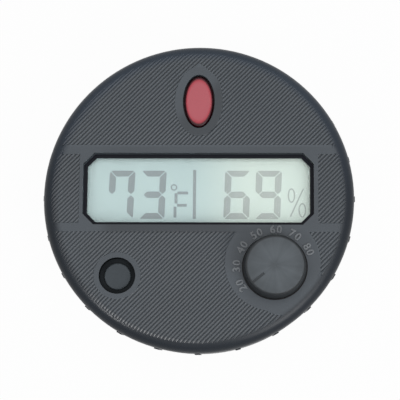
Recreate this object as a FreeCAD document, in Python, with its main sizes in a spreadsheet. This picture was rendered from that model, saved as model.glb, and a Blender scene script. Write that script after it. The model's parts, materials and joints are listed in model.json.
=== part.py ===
import FreeCAD, Part
import math
import os
import Sketcher

# A round digital hygrometer that lies on its back. +Z points out of the face, +Y to twelve
# o'clock, and the origin is the middle of the plane that its feet stand on. Millimetres.
#
# The case is a cup with a ribbed wall, closed by a screwed rear cover. Its face has an
# eight-sided window over a liquid crystal display, an oval lamp lens, a recessed push button
# and a set knob. One round board carries the display, lamp, switch, potentiometer and sensors,
# and a coin cell lies between the board and a quarter-turn battery door.

DIMENSIONS = {
    # case
    "face_wall": 1.6,
    "side_wall": 2.0,
    "case_margin": 1.265,
    "rim_round": 2.5,
    "rim_land": 0.3,
    "draft_inset": 0.6,
    "grip_count": 24,
    "grip_width": 1.0,
    "grip_proud": 0.18,
    "grip_start": 0.8,
    "grip_chamfer": 0.4,
    "pillar_inset": 3.6,
    "boss_radius": 2.3,
    "boss_gap": 1.43,
    "post_radius": 2.0,
    "post_side_x": 9.5,
    "post_low_y": -16.0,
    # rear cover
    "foot_height": 0.8,
    "foot_width": 2.8,
    "foot_setback": 1.2,
    "foot_gap_radius": 4.2,
    "cover_plate": 1.8,
    "cover_setback": 0.1,
    "seam_rise": 0.6,
    "cover_lip_height": 1.4,
    "cover_lip_wall": 0.9,
    "cover_lip_play": 0.1,
    "cover_pad_height": 1.0,
    "cover_pad_wall": 0.7,
    "vent_width": 1.4,
    "vent_length": 7.0,
    "vent_pitch": 3.0,
    "vent_count": 5,
    "vent_gap": 1.6,
    # display
    "window_y": 1.43,
    "window_border": 0.7,
    "view_width": 43.0,
    "view_height": 12.6,
    "view_chamfer": 1.7,
    "mask_thickness": 0.4,
    "film_thickness": 0.2,
    "film_overlap": 0.8,
    "glass_thickness": 0.7,
    "glass_margin": 1.3,
    "glass_ledge": 2.0,
    "holder_wall": 0.9,
    "holder_play": 0.15,
    "strip_width": 1.6,
    "strip_inset": 1.8,
    "peg_radius": 0.7,
    "peg_inset_x": 2.0,
    "peg_inset_y": 1.9,
    # lamp
    "lens_hole_width": 6.2,
    "lens_hole_height": 10.6,
    "lens_gap": 0.35,
    "lens_play": 0.25,
    "lens_flange": 0.9,
    "lens_flange_thickness": 1.2,
    "lens_drop": 0.1,
    "lens_round": 0.5,
    "led_length": 3.5,
    "led_width": 2.8,
    "led_height": 1.4,
    "led_cup_radius": 1.1,
    "led_cup_depth": 0.7,
    # push button
    "button_radius": 2.55,
    "button_rim_gap": 0.95,
    "button_drop": 1.2,
    "button_round": 0.25,
    "button_flange": 1.75,
    "button_flange_thickness": 0.6,
    "button_play": 0.1,
    "button_stem_radius": 1.6,
    "button_travel": 0.5,
    "button_wall_gap": 1.07,
    "guide_wall": 0.8,
    "switch_size": 6.0,
    "switch_height": 2.2,
    "switch_floor": 0.35,
    "switch_headroom": 0.2,
    "switch_frame_gap": 5.21,
    "plunger_radius": 1.75,
    "plunger_gap": 0.05,
    "dome_thickness": 0.12,
    # set knob
    "knob_radius": 6.0,
    "knob_draft": 0.25,
    "knob_height": 3.7,
    "knob_float": 0.3,
    "knob_round": 0.5,
    "knob_skin": 1.1,
    "knob_hub_wall": 1.0,
    "pointer_angle": 219.0,
    "pointer_width": 0.5,
    "pointer_depth": 0.25,
    "pointer_start": 2.6,
    "stem_radius": 2.0,
    "stem_play": 0.06,
    "stem_flat": 0.7,
    "clip_wall": 1.4,
    "clip_thickness": 0.35,
    "clip_depth": 0.45,
    "clip_drop": 0.2,
    "clip_play": 0.08,
    "pot_size": 9.0,
    "pot_headroom": 0.35,
    "pot_floor": 0.8,
    "pot_frame_gap": 2.03,
    "pot_edge_gap": 0.51,
    "rotor_wall": 0.92,
    "rotor_play": 0.08,
    "rotor_floor": 0.4,
    # board
    "board_thickness": 1.2,
    "board_gap": 1.0,
    "board_hole_play": 0.2,
    "chip_size": 7.0,
    "chip_thickness": 0.9,
    "chip_edge_gap": 6.0,
    "chip_y": 2.0,
    "crystal_radius": 1.0,
    "crystal_length": 6.0,
    "crystal_gap": 1.0,
    "resistor_length": 2.0,
    "resistor_width": 1.25,
    "resistor_height": 0.6,
    "resistor_gap": 0.95,
    "resistor_edge_gap": 9.0,
    "sensor_length": 6.0,
    "sensor_width": 5.0,
    "sensor_height": 1.2,
    "sensor_port_radius": 1.4,
    "sensor_port_depth": 0.5,
    "bead_radius": 0.9,
    "bead_lead_radius": 0.22,
    "bead_lead_length": 0.9,
    "bead_gap": 1.7,
    "filter_margin": 0.9,
    "filter_thickness": 0.5,
    # coin cell and its contacts
    "cell_radius": 10.0,
    "cell_height": 3.2,
    "cell_cap_inset": 1.15,
    "cell_cap_step": 0.25,
    "cell_play": 0.3,
    "cell_seat_gap": 0.05,
    "contact_room": 1.45,
    "contact_thickness": 0.2,
    "contact_width": 4.0,
    "contact_foot": 3.0,
    "contact_reach": 3.0,
    "contact_gap": 0.05,
    "contact_slot_play": 0.4,
    # battery door
    "door_plate": 1.2,
    "door_overlap": 0.6,
    "door_play": 0.1,
    "door_lift_play": 0.05,
    "plug_step": 0.3,
    "plug_wall": 1.4,
    "plug_hub_wall": 1.1,
    "door_lip": 1.0,
    "tab_length": 1.1,
    "tab_width": 4.8,
    "tab_thickness": 0.8,
    "tab_count": 3,
    "lock_angle": 40.0,
    "notch_play": 0.3,
    "chamber_wall": 1.4,
    "chamber_roof": 0.8,
    "well_wall": 1.3,
    "well_drop": 0.15,
    "coin_slot_length": 11.0,
    "coin_slot_width": 2.0,
    "coin_slot_depth": 1.0,
    # screws
    "screw_radius": 0.95,
    "screw_length": 8.0,
    "screw_head_radius": 1.9,
    "screw_head_height": 1.1,
    "screw_sink_play": 0.3,
    "screw_sink_depth": 1.3,
    "screw_play": 0.05,
    "screw_hole_play": 0.2,
    "board_screw_radius": 0.8,
    "board_screw_length": 4.0,
    "board_screw_head_radius": 1.5,
    "board_screw_head_height": 0.9,
    "drive_width": 0.4,
    "drive_length": 1.9,
    "drive_depth": 0.5,
    "pilot_extra": 0.5,
}

doc = FreeCAD.newDocument("Hygrometer")
sheet = doc.addObject("Spreadsheet::Sheet", "Dims")
for row, (alias, number) in enumerate(DIMENSIONS.items(), start=1):
    sheet.set(f"B{row}", str(number))
    sheet.setAlias(f"B{row}", alias)
doc.recompute()

# Heights above the foot plane, as expressions on the sheet. They stack from the feet up: the
# door, the coin cell, the board, the switch under the button and the face.
COVER_OUT = "Dims.foot_height"
COVER_IN = f"({COVER_OUT} + Dims.cover_plate)"
COVER_PAD = f"({COVER_IN} + Dims.cover_pad_height)"
SEAM = f"({COVER_IN} + Dims.seam_rise)"
SCREW_SHELF = f"({COVER_OUT} + Dims.screw_sink_depth)"

DOOR_FLOOR = f"({COVER_OUT} + Dims.door_plate)"
LIP_LOW = f"({DOOR_FLOOR} + Dims.door_lift_play)"
LIP_TOP = f"({LIP_LOW} + Dims.door_lip)"
TAB_LOW = f"({LIP_TOP} + Dims.door_lift_play)"
TAB_TOP = f"({TAB_LOW} + Dims.tab_thickness)"
CHAMBER_TOP = f"({TAB_TOP} + Dims.door_play)"
CHAMBER_ROOF = f"({CHAMBER_TOP} + Dims.chamber_roof)"
CELL_LOW = f"({TAB_TOP} + Dims.cell_seat_gap)"
CELL_TOP = f"({CELL_LOW} + Dims.cell_height)"
WELL_TOP = f"({CELL_TOP} - Dims.well_drop)"

BOARD_LOW = f"({CELL_TOP} + Dims.contact_room)"
BOARD_TOP = f"({BOARD_LOW} + Dims.board_thickness)"
SWITCH_TOP = f"({BOARD_TOP} + Dims.switch_height)"
PRESSED_LOW = f"({SWITCH_TOP} + Dims.switch_headroom)"
FLANGE_LOW = f"({PRESSED_LOW} + Dims.button_travel)"
FLANGE_TOP = f"({FLANGE_LOW} + Dims.button_flange_thickness)"
CEILING = f"({FLANGE_TOP} + Dims.button_play)"
FACE = f"({CEILING} + Dims.face_wall)"
RIM_LOW = f"({FACE} - Dims.rim_round - Dims.rim_land)"

MASK_LOW = f"({CEILING} - Dims.mask_thickness)"
FRONT_FILM_LOW = f"({MASK_LOW} - Dims.film_thickness)"
FRONT_GLASS_LOW = f"({FRONT_FILM_LOW} - Dims.glass_thickness)"
REAR_GLASS_LOW = f"({FRONT_GLASS_LOW} - Dims.glass_thickness)"
REAR_FILM_LOW = f"({REAR_GLASS_LOW} - Dims.film_thickness)"

LENS_TOP = f"({FACE} - Dims.lens_drop)"
LENS_FLANGE_LOW = f"({CEILING} - Dims.lens_flange_thickness)"

DOME_LOW = f"({BOARD_TOP} + Dims.switch_floor)"
DOME_TOP = f"({DOME_LOW} + Dims.button_travel + Dims.dome_thickness)"
PLUNGER_LOW = f"({DOME_TOP} + Dims.plunger_gap)"
PLUNGER_TOP = f"({FLANGE_LOW} - 6 * Dims.plunger_gap)"
BUTTON_TOP = f"({FACE} - Dims.button_drop)"

KNOB_LOW = f"({FACE} + Dims.knob_float)"
KNOB_TOP = f"({KNOB_LOW} + Dims.knob_height)"
CLIP_TOP = f"({CEILING} - Dims.clip_drop)"
CLIP_LOW = f"({CLIP_TOP} - Dims.clip_thickness)"
POT_TOP = f"({CLIP_LOW} - Dims.pot_headroom)"
ROTOR_LOW = f"({BOARD_TOP} + Dims.pot_floor + Dims.rotor_play)"
SOCKET_LOW = f"({ROTOR_LOW} + Dims.rotor_floor)"
STEM_LOW = f"({SOCKET_LOW} + Dims.rotor_play)"

# The display's layers, laid out about the middle of the window, set the size of the case.
WINDOW_WIDTH = "(Dims.view_width + 2 * Dims.window_border)"
WINDOW_HEIGHT = "(Dims.view_height + 2 * Dims.window_border)"
WINDOW_CHAMFER = "(Dims.view_chamfer + Dims.window_border * (2 - sqrt(2)))"
GLASS_X = "(Dims.view_width / 2 + Dims.glass_margin)"
GLASS_Y = "(Dims.view_height / 2 + Dims.glass_margin)"
LEDGE_Y = f"({GLASS_Y} + Dims.glass_ledge)"
FRAME_REACH = "(Dims.holder_play + Dims.holder_wall)"
FRAME_X = f"({GLASS_X} + {FRAME_REACH})"
FRAME_LOW = f"({GLASS_Y} + {FRAME_REACH})"
FRAME_HIGH = f"({LEDGE_Y} + {FRAME_REACH})"
FRAME_CORNER = f"(sqrt({FRAME_X} ^ 2 + (Dims.window_y + {FRAME_HIGH}) ^ 2))"

WALL_INSIDE = f"({FRAME_CORNER} + Dims.case_margin)"
CASE_RADIUS = f"({WALL_INSIDE} + Dims.side_wall)"
SEAM_RADIUS = f"({CASE_RADIUS} - Dims.draft_inset)"
COVER_RADIUS = f"({SEAM_RADIUS} - Dims.cover_setback)"
FOOT_OUTER = f"({COVER_RADIUS} - Dims.foot_setback)"
BOARD_RADIUS = f"({WALL_INSIDE} - Dims.board_gap)"

# What the face carries stands clear of the display's frame and of the wall.
LENS_Y = (f"(Dims.window_y + {FRAME_HIGH} + Dims.lens_gap + Dims.lens_flange"
          " + Dims.lens_hole_height / 2)")
KNOB_Y = f"(Dims.window_y - {FRAME_LOW} - Dims.pot_frame_gap - Dims.pot_size / 2)"
KNOB_X = (f"(sqrt(({BOARD_RADIUS} - Dims.pot_edge_gap) ^ 2 - ({KNOB_Y} - Dims.pot_size / 2) ^ 2)"
          " - Dims.pot_size / 2)")
BUTTON_FLANGE = "(Dims.button_radius + Dims.button_flange)"
GUIDE_BORE = f"({BUTTON_FLANGE} + Dims.button_play)"
BUTTON_Y = f"(Dims.window_y - {FRAME_LOW} - Dims.switch_frame_gap - Dims.switch_size / 2)"
BUTTON_CIRCLE = f"({WALL_INSIDE} - Dims.button_wall_gap - {GUIDE_BORE} - Dims.guide_wall)"
BUTTON_X = f"(-1 * sqrt({BUTTON_CIRCLE} ^ 2 - {BUTTON_Y} ^ 2))"

STEM_BORE = "(Dims.stem_radius + Dims.stem_play)"
GROOVE_RADIUS = "(Dims.stem_radius - Dims.clip_depth)"
FLAT_X = "(Dims.stem_radius - Dims.stem_flat)"
SOCKET_RADIUS = "(Dims.stem_radius + Dims.rotor_play)"
ROTOR_RADIUS = f"({SOCKET_RADIUS} + Dims.rotor_wall)"

WELL_RADIUS = "(Dims.cell_radius + Dims.cell_play)"
WELL_OUTER = f"({WELL_RADIUS} + Dims.well_wall)"
PLUG_RADIUS = f"({WELL_RADIUS} + Dims.plug_step)"
PLUG_HUB = "(Dims.coin_slot_length / 2 + Dims.plug_hub_wall)"
MOUTH_RADIUS = f"({PLUG_RADIUS} + Dims.door_play)"
TAB_REACH = f"({PLUG_RADIUS} + Dims.tab_length)"
NOTCH_REACH = f"({TAB_REACH} + Dims.notch_play)"
CHAMBER_RADIUS = f"(sqrt({TAB_REACH} ^ 2 + (Dims.tab_width / 2) ^ 2) + Dims.door_play)"
CHAMBER_OUTER = f"({CHAMBER_RADIUS} + Dims.chamber_wall)"
DOOR_RADIUS = f"({NOTCH_REACH} + Dims.door_overlap)"
RECESS_RADIUS = f"({DOOR_RADIUS} + Dims.door_play)"
VENT_LOW = f"({CHAMBER_OUTER} + Dims.vent_gap)"
VENT_Y = f"({VENT_LOW} + Dims.vent_length / 2)"
VENT_SPAN = "(Dims.vent_pitch * (Dims.vent_count - 1))"
SINK_RADIUS = "(Dims.screw_head_radius + Dims.screw_sink_play)"

# Two bosses stand beside the display's upper corners and one at six o'clock; two posts stand
# beside the lamp and one below the display.
PILLAR_CIRCLE = f"({WALL_INSIDE} - Dims.pillar_inset)"
BOSS_Y = f"(Dims.window_y + {FRAME_HIGH} + Dims.boss_gap + Dims.boss_radius)"
BOSS_X = f"(sqrt({PILLAR_CIRCLE} ^ 2 - {BOSS_Y} ^ 2))"
BOSS_PLACES = [(BOSS_X, BOSS_Y), (f"(-1 * {BOSS_X})", BOSS_Y), ("0", f"(-1 * {PILLAR_CIRCLE})")]
POST_Y = f"(sqrt({PILLAR_CIRCLE} ^ 2 - Dims.post_side_x ^ 2))"
POST_PLACES = [
    ("Dims.post_side_x", POST_Y),
    ("(-1 * Dims.post_side_x)", POST_Y),
    ("0", "Dims.post_low_y"),
]
PEG_X = f"({FRAME_X} - Dims.peg_inset_x)"
PEG_PLACES = [
    (f"({side} * {PEG_X})", level)
    for side in ("1", "-1")
    for level in (f"(Dims.peg_inset_y - {FRAME_LOW})", f"({FRAME_HIGH} - Dims.peg_inset_y)")
]

nodes = []


def value(expression):
    """The number that an expression on the sheet has now."""
    result = sheet.evalExpression(expression)
    return float(getattr(result, "Value", result))


# ---------------------------------------------------------------- sketches and features


def new_body(label, x="0", y="0"):
    """An empty body for one sub-part, standing at x, y."""
    body = doc.addObject("PartDesign::Body", label)
    body.Label = label
    body.setExpression("Placement.Base.x", x)
    body.setExpression("Placement.Base.y", y)
    nodes.append(body)
    return body


def new_sketch(body, height="0", role="XY_Plane", turn=None):
    """A sketch on one of the body's own planes, at a height, turned about its normal."""
    plane = next(item for item in body.Origin.OriginFeatures if item.Role == role)
    sketch = body.newObject("Sketcher::SketchObject", body.Label + "_sketch")
    sketch.AttachmentSupport = [(plane, "")]
    sketch.MapMode = "FlatFace"
    sketch.setExpression("AttachmentOffset.Base.z", height)
    if turn:
        sketch.setExpression("AttachmentOffset.Rotation.Angle", turn)
    return sketch


def pin_point(sketch, geometry, point, x, y):
    """Ties one point of a sketch to the sketch's origin."""
    for kind, expression in (("DistanceX", x), ("DistanceY", y)):
        constraint = Sketcher.Constraint(kind, -1, 1, geometry, point, value(expression))
        sketch.setExpression(f"Constraints[{sketch.addConstraint(constraint)}]", expression)


def add_circle(sketch, radius, x="0", y="0"):
    centre = FreeCAD.Vector(value(x), value(y), 0)
    shape = Part.Circle(centre, FreeCAD.Vector(0, 0, 1), value(radius))
    circle = sketch.addGeometry(shape, False)
    pin_point(sketch, circle, 3, x, y)
    size = sketch.addConstraint(Sketcher.Constraint("Radius", circle, value(radius)))
    sketch.setExpression(f"Constraints[{size}]", radius)


def add_upright_ellipse(sketch, width, height):
    """An ellipse about the sketch's origin whose long axis is vertical."""
    tall, wide = value(height) / 2, value(width) / 2
    shape = Part.Ellipse(FreeCAD.Vector(0, tall, 0), FreeCAD.Vector(-wide, 0, 0), FreeCAD.Vector(0, 0, 0))
    ellipse = sketch.addGeometry(shape, False)
    sketch.exposeInternalGeometry(ellipse)
    long_axis, short_axis = ellipse + 1, ellipse + 2
    sketch.addConstraint(Sketcher.Constraint("Coincident", ellipse, 3, -1, 1))
    sketch.addConstraint(Sketcher.Constraint("Vertical", long_axis))
    for axis, length in ((long_axis, height), (short_axis, width)):
        size = sketch.addConstraint(Sketcher.Constraint("Distance", axis, value(length)))
        sketch.setExpression(f"Constraints[{size}]", length)


def add_polygon(sketch, corners):
    """A closed outline of straight lines through the corners, each an (x, y) of expressions."""
    points = [FreeCAD.Vector(value(x), value(y), 0) for x, y in corners]
    lines = []
    for start, end in zip(points, points[1:] + points[:1]):
        lines.append(sketch.addGeometry(Part.LineSegment(start, end), False))
    for line, following in zip(lines, lines[1:] + lines[:1]):
        sketch.addConstraint(Sketcher.Constraint("Coincident", line, 2, following, 1))
    for line, (x, y) in zip(lines, corners):
        pin_point(sketch, line, 1, x, y)


def add_rectangle(sketch, left, right, low, high):
    add_polygon(sketch, [(left, low), (right, low), (right, high), (left, high)])


def add_chamfered_rectangle(sketch, width, height, chamfer):
    """A rectangle about the sketch's origin with its four corners cut off at 45 degrees."""
    x, y = f"({width} / 2)", f"({height} / 2)"
    inner_x, inner_y = f"({x} - {chamfer})", f"({y} - {chamfer})"
    corners = [
        (inner_x, f"-{y}"), (x, f"-{inner_y}"), (x, inner_y), (inner_x, y),
        (f"-{inner_x}", y), (f"-{x}", inner_y), (f"-{x}", f"-{inner_y}"), (f"-{inner_x}", f"-{y}"),
    ]
    add_polygon(sketch, corners)


def pad(body, sketch, length, both_ways=False):
    feature = body.newObject("PartDesign::Pad", body.Label + "_pad")
    feature.Profile = sketch
    feature.setExpression("Length", length)
    if both_ways:
        feature.SideType = "Symmetric"
    doc.recompute()
    return feature


def pocket(body, sketch, depth):
    """Cuts from the sketch's plane against its normal, and makes sure that it cuts."""
    volume = body.Shape.Volume
    feature = body.newObject("PartDesign::Pocket", body.Label + "_pocket")
    feature.Profile = sketch
    feature.setExpression("Length", depth)
    doc.recompute()
    if not body.Shape.Volume < volume:
        raise ValueError(f"{feature.Label} removes nothing from {body.Label}")
    return feature


def revolve(body, corners):
    """Turns an outline of (radius, height) corners about the body's Z axis."""
    sketch = new_sketch(body, role="XZ_Plane")
    add_polygon(sketch, corners)
    feature = body.newObject("PartDesign::Revolution", body.Label + "_turned")
    feature.Profile = sketch
    feature.ReferenceAxis = (sketch, ["V_Axis"])
    feature.Angle = 360
    doc.recompute()
    return feature


def repeat_round(body, feature, count):
    """Repeats a feature evenly about the body's Z axis."""
    pattern = body.newObject("PartDesign::PolarPattern", body.Label + "_pattern")
    pattern.Originals = [feature]
    axis = next(item for item in body.Origin.OriginFeatures if item.Role == "Z_Axis")
    pattern.Axis = (axis, [""])
    pattern.Angle = 360
    pattern.setExpression("Occurrences", count)
    body.Tip = pattern
    doc.recompute()


def round_top_edges(body, height, radius):
    """Rounds the closed edges that lie at a height."""
    tip = body.Tip
    names = []
    for number, edge in enumerate(tip.Shape.Edges, start=1):
        box = edge.BoundBox
        level = abs(box.ZMin - value(height)) < 1e-4 and abs(box.ZMax - value(height)) < 1e-4
        if level and edge.isClosed():
            names.append(f"Edge{number}")
    if not names:
        raise ValueError(f"no edge to round on {body.Label}")
    fillet = body.newObject("PartDesign::Fillet", body.Label + "_round")
    fillet.Base = (tip, names)
    fillet.setExpression("Radius", radius)
    doc.recompute()


# ---------------------------------------------------------------- primitives


def block(label, x, y, low, length, width, height):
    """A box centred on x, y that stands on the height low."""
    box = doc.addObject("Part::Box", label)
    box.setExpression("Length", length)
    box.setExpression("Width", width)
    box.setExpression("Height", height)
    box.setExpression("Placement.Base.x", f"{x} - ({length}) / 2")
    box.setExpression("Placement.Base.y", f"{y} - ({width}) / 2")
    box.setExpression("Placement.Base.z", low)
    return box


def rod(label, x, y, low, radius, height):
    """An upright cylinder on x, y that stands on the height low."""
    cylinder = doc.addObject("Part::Cylinder", label)
    cylinder.setExpression("Radius", radius)
    cylinder.setExpression("Height", height)
    cylinder.setExpression("Placement.Base.x", x)
    cylinder.setExpression("Placement.Base.y", y)
    cylinder.setExpression("Placement.Base.z", low)
    return cylinder


def cut(label, base, tool):
    result = doc.addObject("Part::Cut", label)
    result.Base = base
    result.Tool = tool
    return result


def join(label, base, tool):
    result = doc.addObject("Part::Fuse", label)
    result.Base = base
    result.Tool = tool
    return result


def group(label, members):
    """One node that holds several like, separate solids."""
    compound = doc.addObject("Part::Compound", label)
    compound.Links = members
    keep(compound, label)


def keep(item, label):
    item.Label = label
    nodes.append(item)
    doc.recompute()


# ---------------------------------------------------------------- case


def front_shell():
    body = new_body("front_shell")
    revolve(body, [
        ("0", FACE),
        (CASE_RADIUS, FACE),
        (CASE_RADIUS, RIM_LOW),
        (SEAM_RADIUS, SEAM),
        (WALL_INSIDE, SEAM),
        (WALL_INSIDE, CEILING),
        ("0", CEILING),
    ])
    round_top_edges(body, FACE, "Dims.rim_round")

    grip = new_sketch(body, role="XZ_Plane")
    slope = f"(Dims.draft_inset / ({RIM_LOW} - {SEAM}))"
    grip_low = f"({SEAM} + Dims.grip_start)"
    root = f"({CASE_RADIUS} - Dims.side_wall / 2)"
    add_polygon(grip, [
        (root, grip_low),
        (f"({SEAM_RADIUS} + {slope} * Dims.grip_start + Dims.grip_proud)", grip_low),
        (f"({CASE_RADIUS} + Dims.grip_proud)", f"({RIM_LOW} - Dims.grip_chamfer)"),
        (f"({CASE_RADIUS} - Dims.grip_chamfer)", RIM_LOW),
        (root, RIM_LOW),
    ])
    repeat_round(body, pad(body, grip, "Dims.grip_width", both_ways=True), "Dims.grip_count")

    # Pillars hang from the inside of the face; each reaches a little way into the face wall.
    rooted = "Dims.face_wall / 4"
    bosses = new_sketch(body, COVER_PAD)
    for x, y in BOSS_PLACES:
        add_circle(bosses, "Dims.boss_radius", x, y)
    pad(body, bosses, f"{CEILING} - {COVER_PAD} + {rooted}")
    posts = new_sketch(body, BOARD_TOP)
    for x, y in POST_PLACES:
        add_circle(posts, "Dims.post_radius", x, y)
    pad(body, posts, f"{CEILING} - {BOARD_TOP} + {rooted}")
    guide = new_sketch(body, PRESSED_LOW)
    add_circle(guide, GUIDE_BORE, BUTTON_X, BUTTON_Y)
    add_circle(guide, f"({GUIDE_BORE} + Dims.guide_wall)", BUTTON_X, BUTTON_Y)
    pad(body, guide, f"{CEILING} - {PRESSED_LOW} + {rooted}")

    window = new_sketch(body, FACE)
    window.setExpression("AttachmentOffset.Base.y", "Dims.window_y")
    add_chamfered_rectangle(window, WINDOW_WIDTH, WINDOW_HEIGHT, WINDOW_CHAMFER)
    pocket(body, window, "Dims.face_wall")
    lamp_hole = new_sketch(body, FACE)
    lamp_hole.setExpression("AttachmentOffset.Base.y", LENS_Y)
    add_upright_ellipse(lamp_hole, "Dims.lens_hole_width", "Dims.lens_hole_height")
    pocket(body, lamp_hole, "Dims.face_wall")
    holes = new_sketch(body, FACE)
    add_circle(holes, "(Dims.button_radius + Dims.button_rim_gap)", BUTTON_X, BUTTON_Y)
    add_circle(holes, STEM_BORE, KNOB_X, KNOB_Y)
    pocket(body, holes, "Dims.face_wall")

    case_depth = f"(Dims.screw_length + {SCREW_SHELF} - {COVER_PAD} + Dims.pilot_extra)"
    board_depth = "(Dims.board_screw_length - Dims.board_thickness + Dims.pilot_extra)"
    drill(body, COVER_PAD, case_depth, "Dims.screw_radius", BOSS_PLACES)
    drill(body, BOARD_TOP, board_depth, "Dims.board_screw_radius", POST_PLACES)


def drill(body, low, depth, screw_radius, places):
    """Blind pilot holes that go up from the height low."""
    sketch = new_sketch(body, f"{low} + {depth}")
    for x, y in places:
        add_circle(sketch, f"({screw_radius} + Dims.screw_play)", x, y)
    pocket(body, sketch, depth)


def rear_cover():
    """A dish with feet, a locating lip, vents and the stepped well of the coin cell."""
    body = new_body("rear_cover")
    foot_inner = f"({FOOT_OUTER} - Dims.foot_width)"
    lip_outer = f"({WALL_INSIDE} - Dims.cover_lip_play)"
    lip_inner = f"({lip_outer} - Dims.cover_lip_wall)"
    lip_top = f"({SEAM} + Dims.cover_lip_height)"
    revolve(body, [
        (RECESS_RADIUS, COVER_OUT),
        (foot_inner, COVER_OUT),
        (foot_inner, "0"),
        (FOOT_OUTER, "0"),
        (COVER_RADIUS, SEAM),
        (lip_outer, SEAM),
        (lip_outer, lip_top),
        (lip_inner, lip_top),
        (lip_inner, COVER_IN),
        (CHAMBER_OUTER, COVER_IN),
        (CHAMBER_OUTER, CHAMBER_ROOF),
        (WELL_OUTER, CHAMBER_ROOF),
        (WELL_OUTER, WELL_TOP),
        (WELL_RADIUS, WELL_TOP),
        (WELL_RADIUS, CHAMBER_TOP),
        (CHAMBER_RADIUS, CHAMBER_TOP),
        (CHAMBER_RADIUS, LIP_TOP),
        (MOUTH_RADIUS, LIP_TOP),
        (MOUTH_RADIUS, LIP_LOW),
        (RECESS_RADIUS, LIP_LOW),
    ])

    pads = new_sketch(body, COVER_OUT)
    gaps = new_sketch(body, COVER_OUT)
    sinks = new_sketch(body, SCREW_SHELF)
    holes = new_sketch(body, COVER_PAD)
    for x, y in BOSS_PLACES:
        add_circle(pads, f"({SINK_RADIUS} + Dims.cover_pad_wall)", x, y)
        add_circle(gaps, "Dims.foot_gap_radius", x, y)
        add_circle(sinks, SINK_RADIUS, x, y)
        add_circle(holes, "(Dims.screw_radius + Dims.screw_hole_play)", x, y)
    pad(body, pads, f"{COVER_PAD} - {COVER_OUT}")
    pocket(body, gaps, "Dims.foot_height")
    pocket(body, sinks, "Dims.screw_sink_depth")
    pocket(body, holes, f"{COVER_PAD} - {SCREW_SHELF}")

    notch = new_sketch(body, LIP_TOP)
    half_notch = "(Dims.tab_width / 2 + Dims.notch_play)"
    add_rectangle(notch, f"({PLUG_RADIUS} - Dims.plug_wall)", NOTCH_REACH, f"-{half_notch}", half_notch)
    repeat_round(body, pocket(body, notch, "Dims.door_lip"), "Dims.tab_count")

    # The standing contact passes through a gap in the wall of the well.
    slot = new_sketch(body, WELL_TOP)
    half_slot = "(Dims.contact_width / 2 + Dims.contact_slot_play)"
    add_rectangle(slot, "Dims.cell_radius / 2", CHAMBER_OUTER, f"-{half_slot}", half_slot)
    pocket(body, slot, f"{WELL_TOP} - {CHAMBER_ROOF}")

    vent = new_sketch(body, COVER_IN)
    left = f"(-1 * ({VENT_SPAN} + Dims.vent_width) / 2)"
    add_rectangle(vent, left, f"{left} + Dims.vent_width", VENT_LOW, f"{VENT_LOW} + Dims.vent_length")
    first = pocket(body, vent, "Dims.cover_plate")
    row = body.newObject("PartDesign::LinearPattern", "vent_row")
    row.Originals = [first]
    row.Direction = (vent, ["H_Axis"])
    row.setExpression("Length", VENT_SPAN)
    row.setExpression("Occurrences", "Dims.vent_count")
    body.Tip = row
    doc.recompute()


# ---------------------------------------------------------------- display


def layer(label, low, thickness, half_x, y_low, y_high):
    """A flat rectangular layer of the display, laid out about the middle of the window."""
    body = new_body(label, y="Dims.window_y")
    outline = new_sketch(body, low)
    add_rectangle(outline, f"-{half_x}", half_x, f"-{y_low}", y_high)
    pad(body, outline, thickness)
    return body


def display():
    mask = layer("display_mask", MASK_LOW, "Dims.mask_thickness", FRAME_X, FRAME_LOW, FRAME_HIGH)
    opening = new_sketch(mask, CEILING)
    add_chamfered_rectangle(opening, "Dims.view_width", "Dims.view_height", "Dims.view_chamfer")
    pocket(mask, opening, "Dims.mask_thickness")

    film_x = "(Dims.view_width / 2 + Dims.film_overlap)"
    film_y = "(Dims.view_height / 2 + Dims.film_overlap)"
    film, glass = "Dims.film_thickness", "Dims.glass_thickness"
    layer("front_polarizer", FRONT_FILM_LOW, film, film_x, film_y, film_y)
    layer("front_glass", FRONT_GLASS_LOW, glass, GLASS_X, GLASS_Y, LEDGE_Y)
    layer("rear_glass", REAR_GLASS_LOW, glass, GLASS_X, GLASS_Y, GLASS_Y)
    layer("rear_reflector", REAR_FILM_LOW, film, film_x, film_y, film_y)

    # The holder lies on the board. The glass lies in its bed, and a rubber strip joins the
    # ledge of the front glass to the board through a slot in the bed.
    holder = layer("display_holder", BOARD_TOP, f"{MASK_LOW} - {BOARD_TOP}", FRAME_X, FRAME_LOW, FRAME_HIGH)
    play = "Dims.holder_play"
    bed = new_sketch(holder, MASK_LOW)
    bed_x, bed_low, bed_high = f"({GLASS_X} + {play})", f"({GLASS_Y} + {play})", f"({LEDGE_Y} + {play})"
    add_rectangle(bed, f"-{bed_x}", bed_x, f"-{bed_low}", bed_high)
    pocket(holder, bed, f"{MASK_LOW} - {REAR_FILM_LOW}")
    strip_length = f"(2 * ({GLASS_X} - Dims.strip_inset))"
    strip_y = f"({GLASS_Y} + Dims.glass_ledge / 2)"
    slot_x = f"({strip_length} / 2 + {play})"
    slot_y = f"(Dims.strip_width / 2 + {play})"
    slot = new_sketch(holder, REAR_FILM_LOW)
    add_rectangle(slot, f"-{slot_x}", slot_x, f"({strip_y} - {slot_y})", f"({strip_y} + {slot_y})")
    pocket(holder, slot, f"{REAR_FILM_LOW} - {BOARD_TOP}")
    pegs = new_sketch(holder, BOARD_LOW)
    for x, y in PEG_PLACES:
        add_circle(pegs, "Dims.peg_radius", x, y)
    pad(holder, pegs, "Dims.board_thickness + Dims.holder_wall")

    strip_height = f"({FRONT_GLASS_LOW} - {BOARD_TOP})"
    strip = block("strip", "0", f"(Dims.window_y + {strip_y})", BOARD_TOP,
                  strip_length, "Dims.strip_width", strip_height)
    keep(strip, "contact_strip")


# ---------------------------------------------------------------- lamp, button and knob


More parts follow.
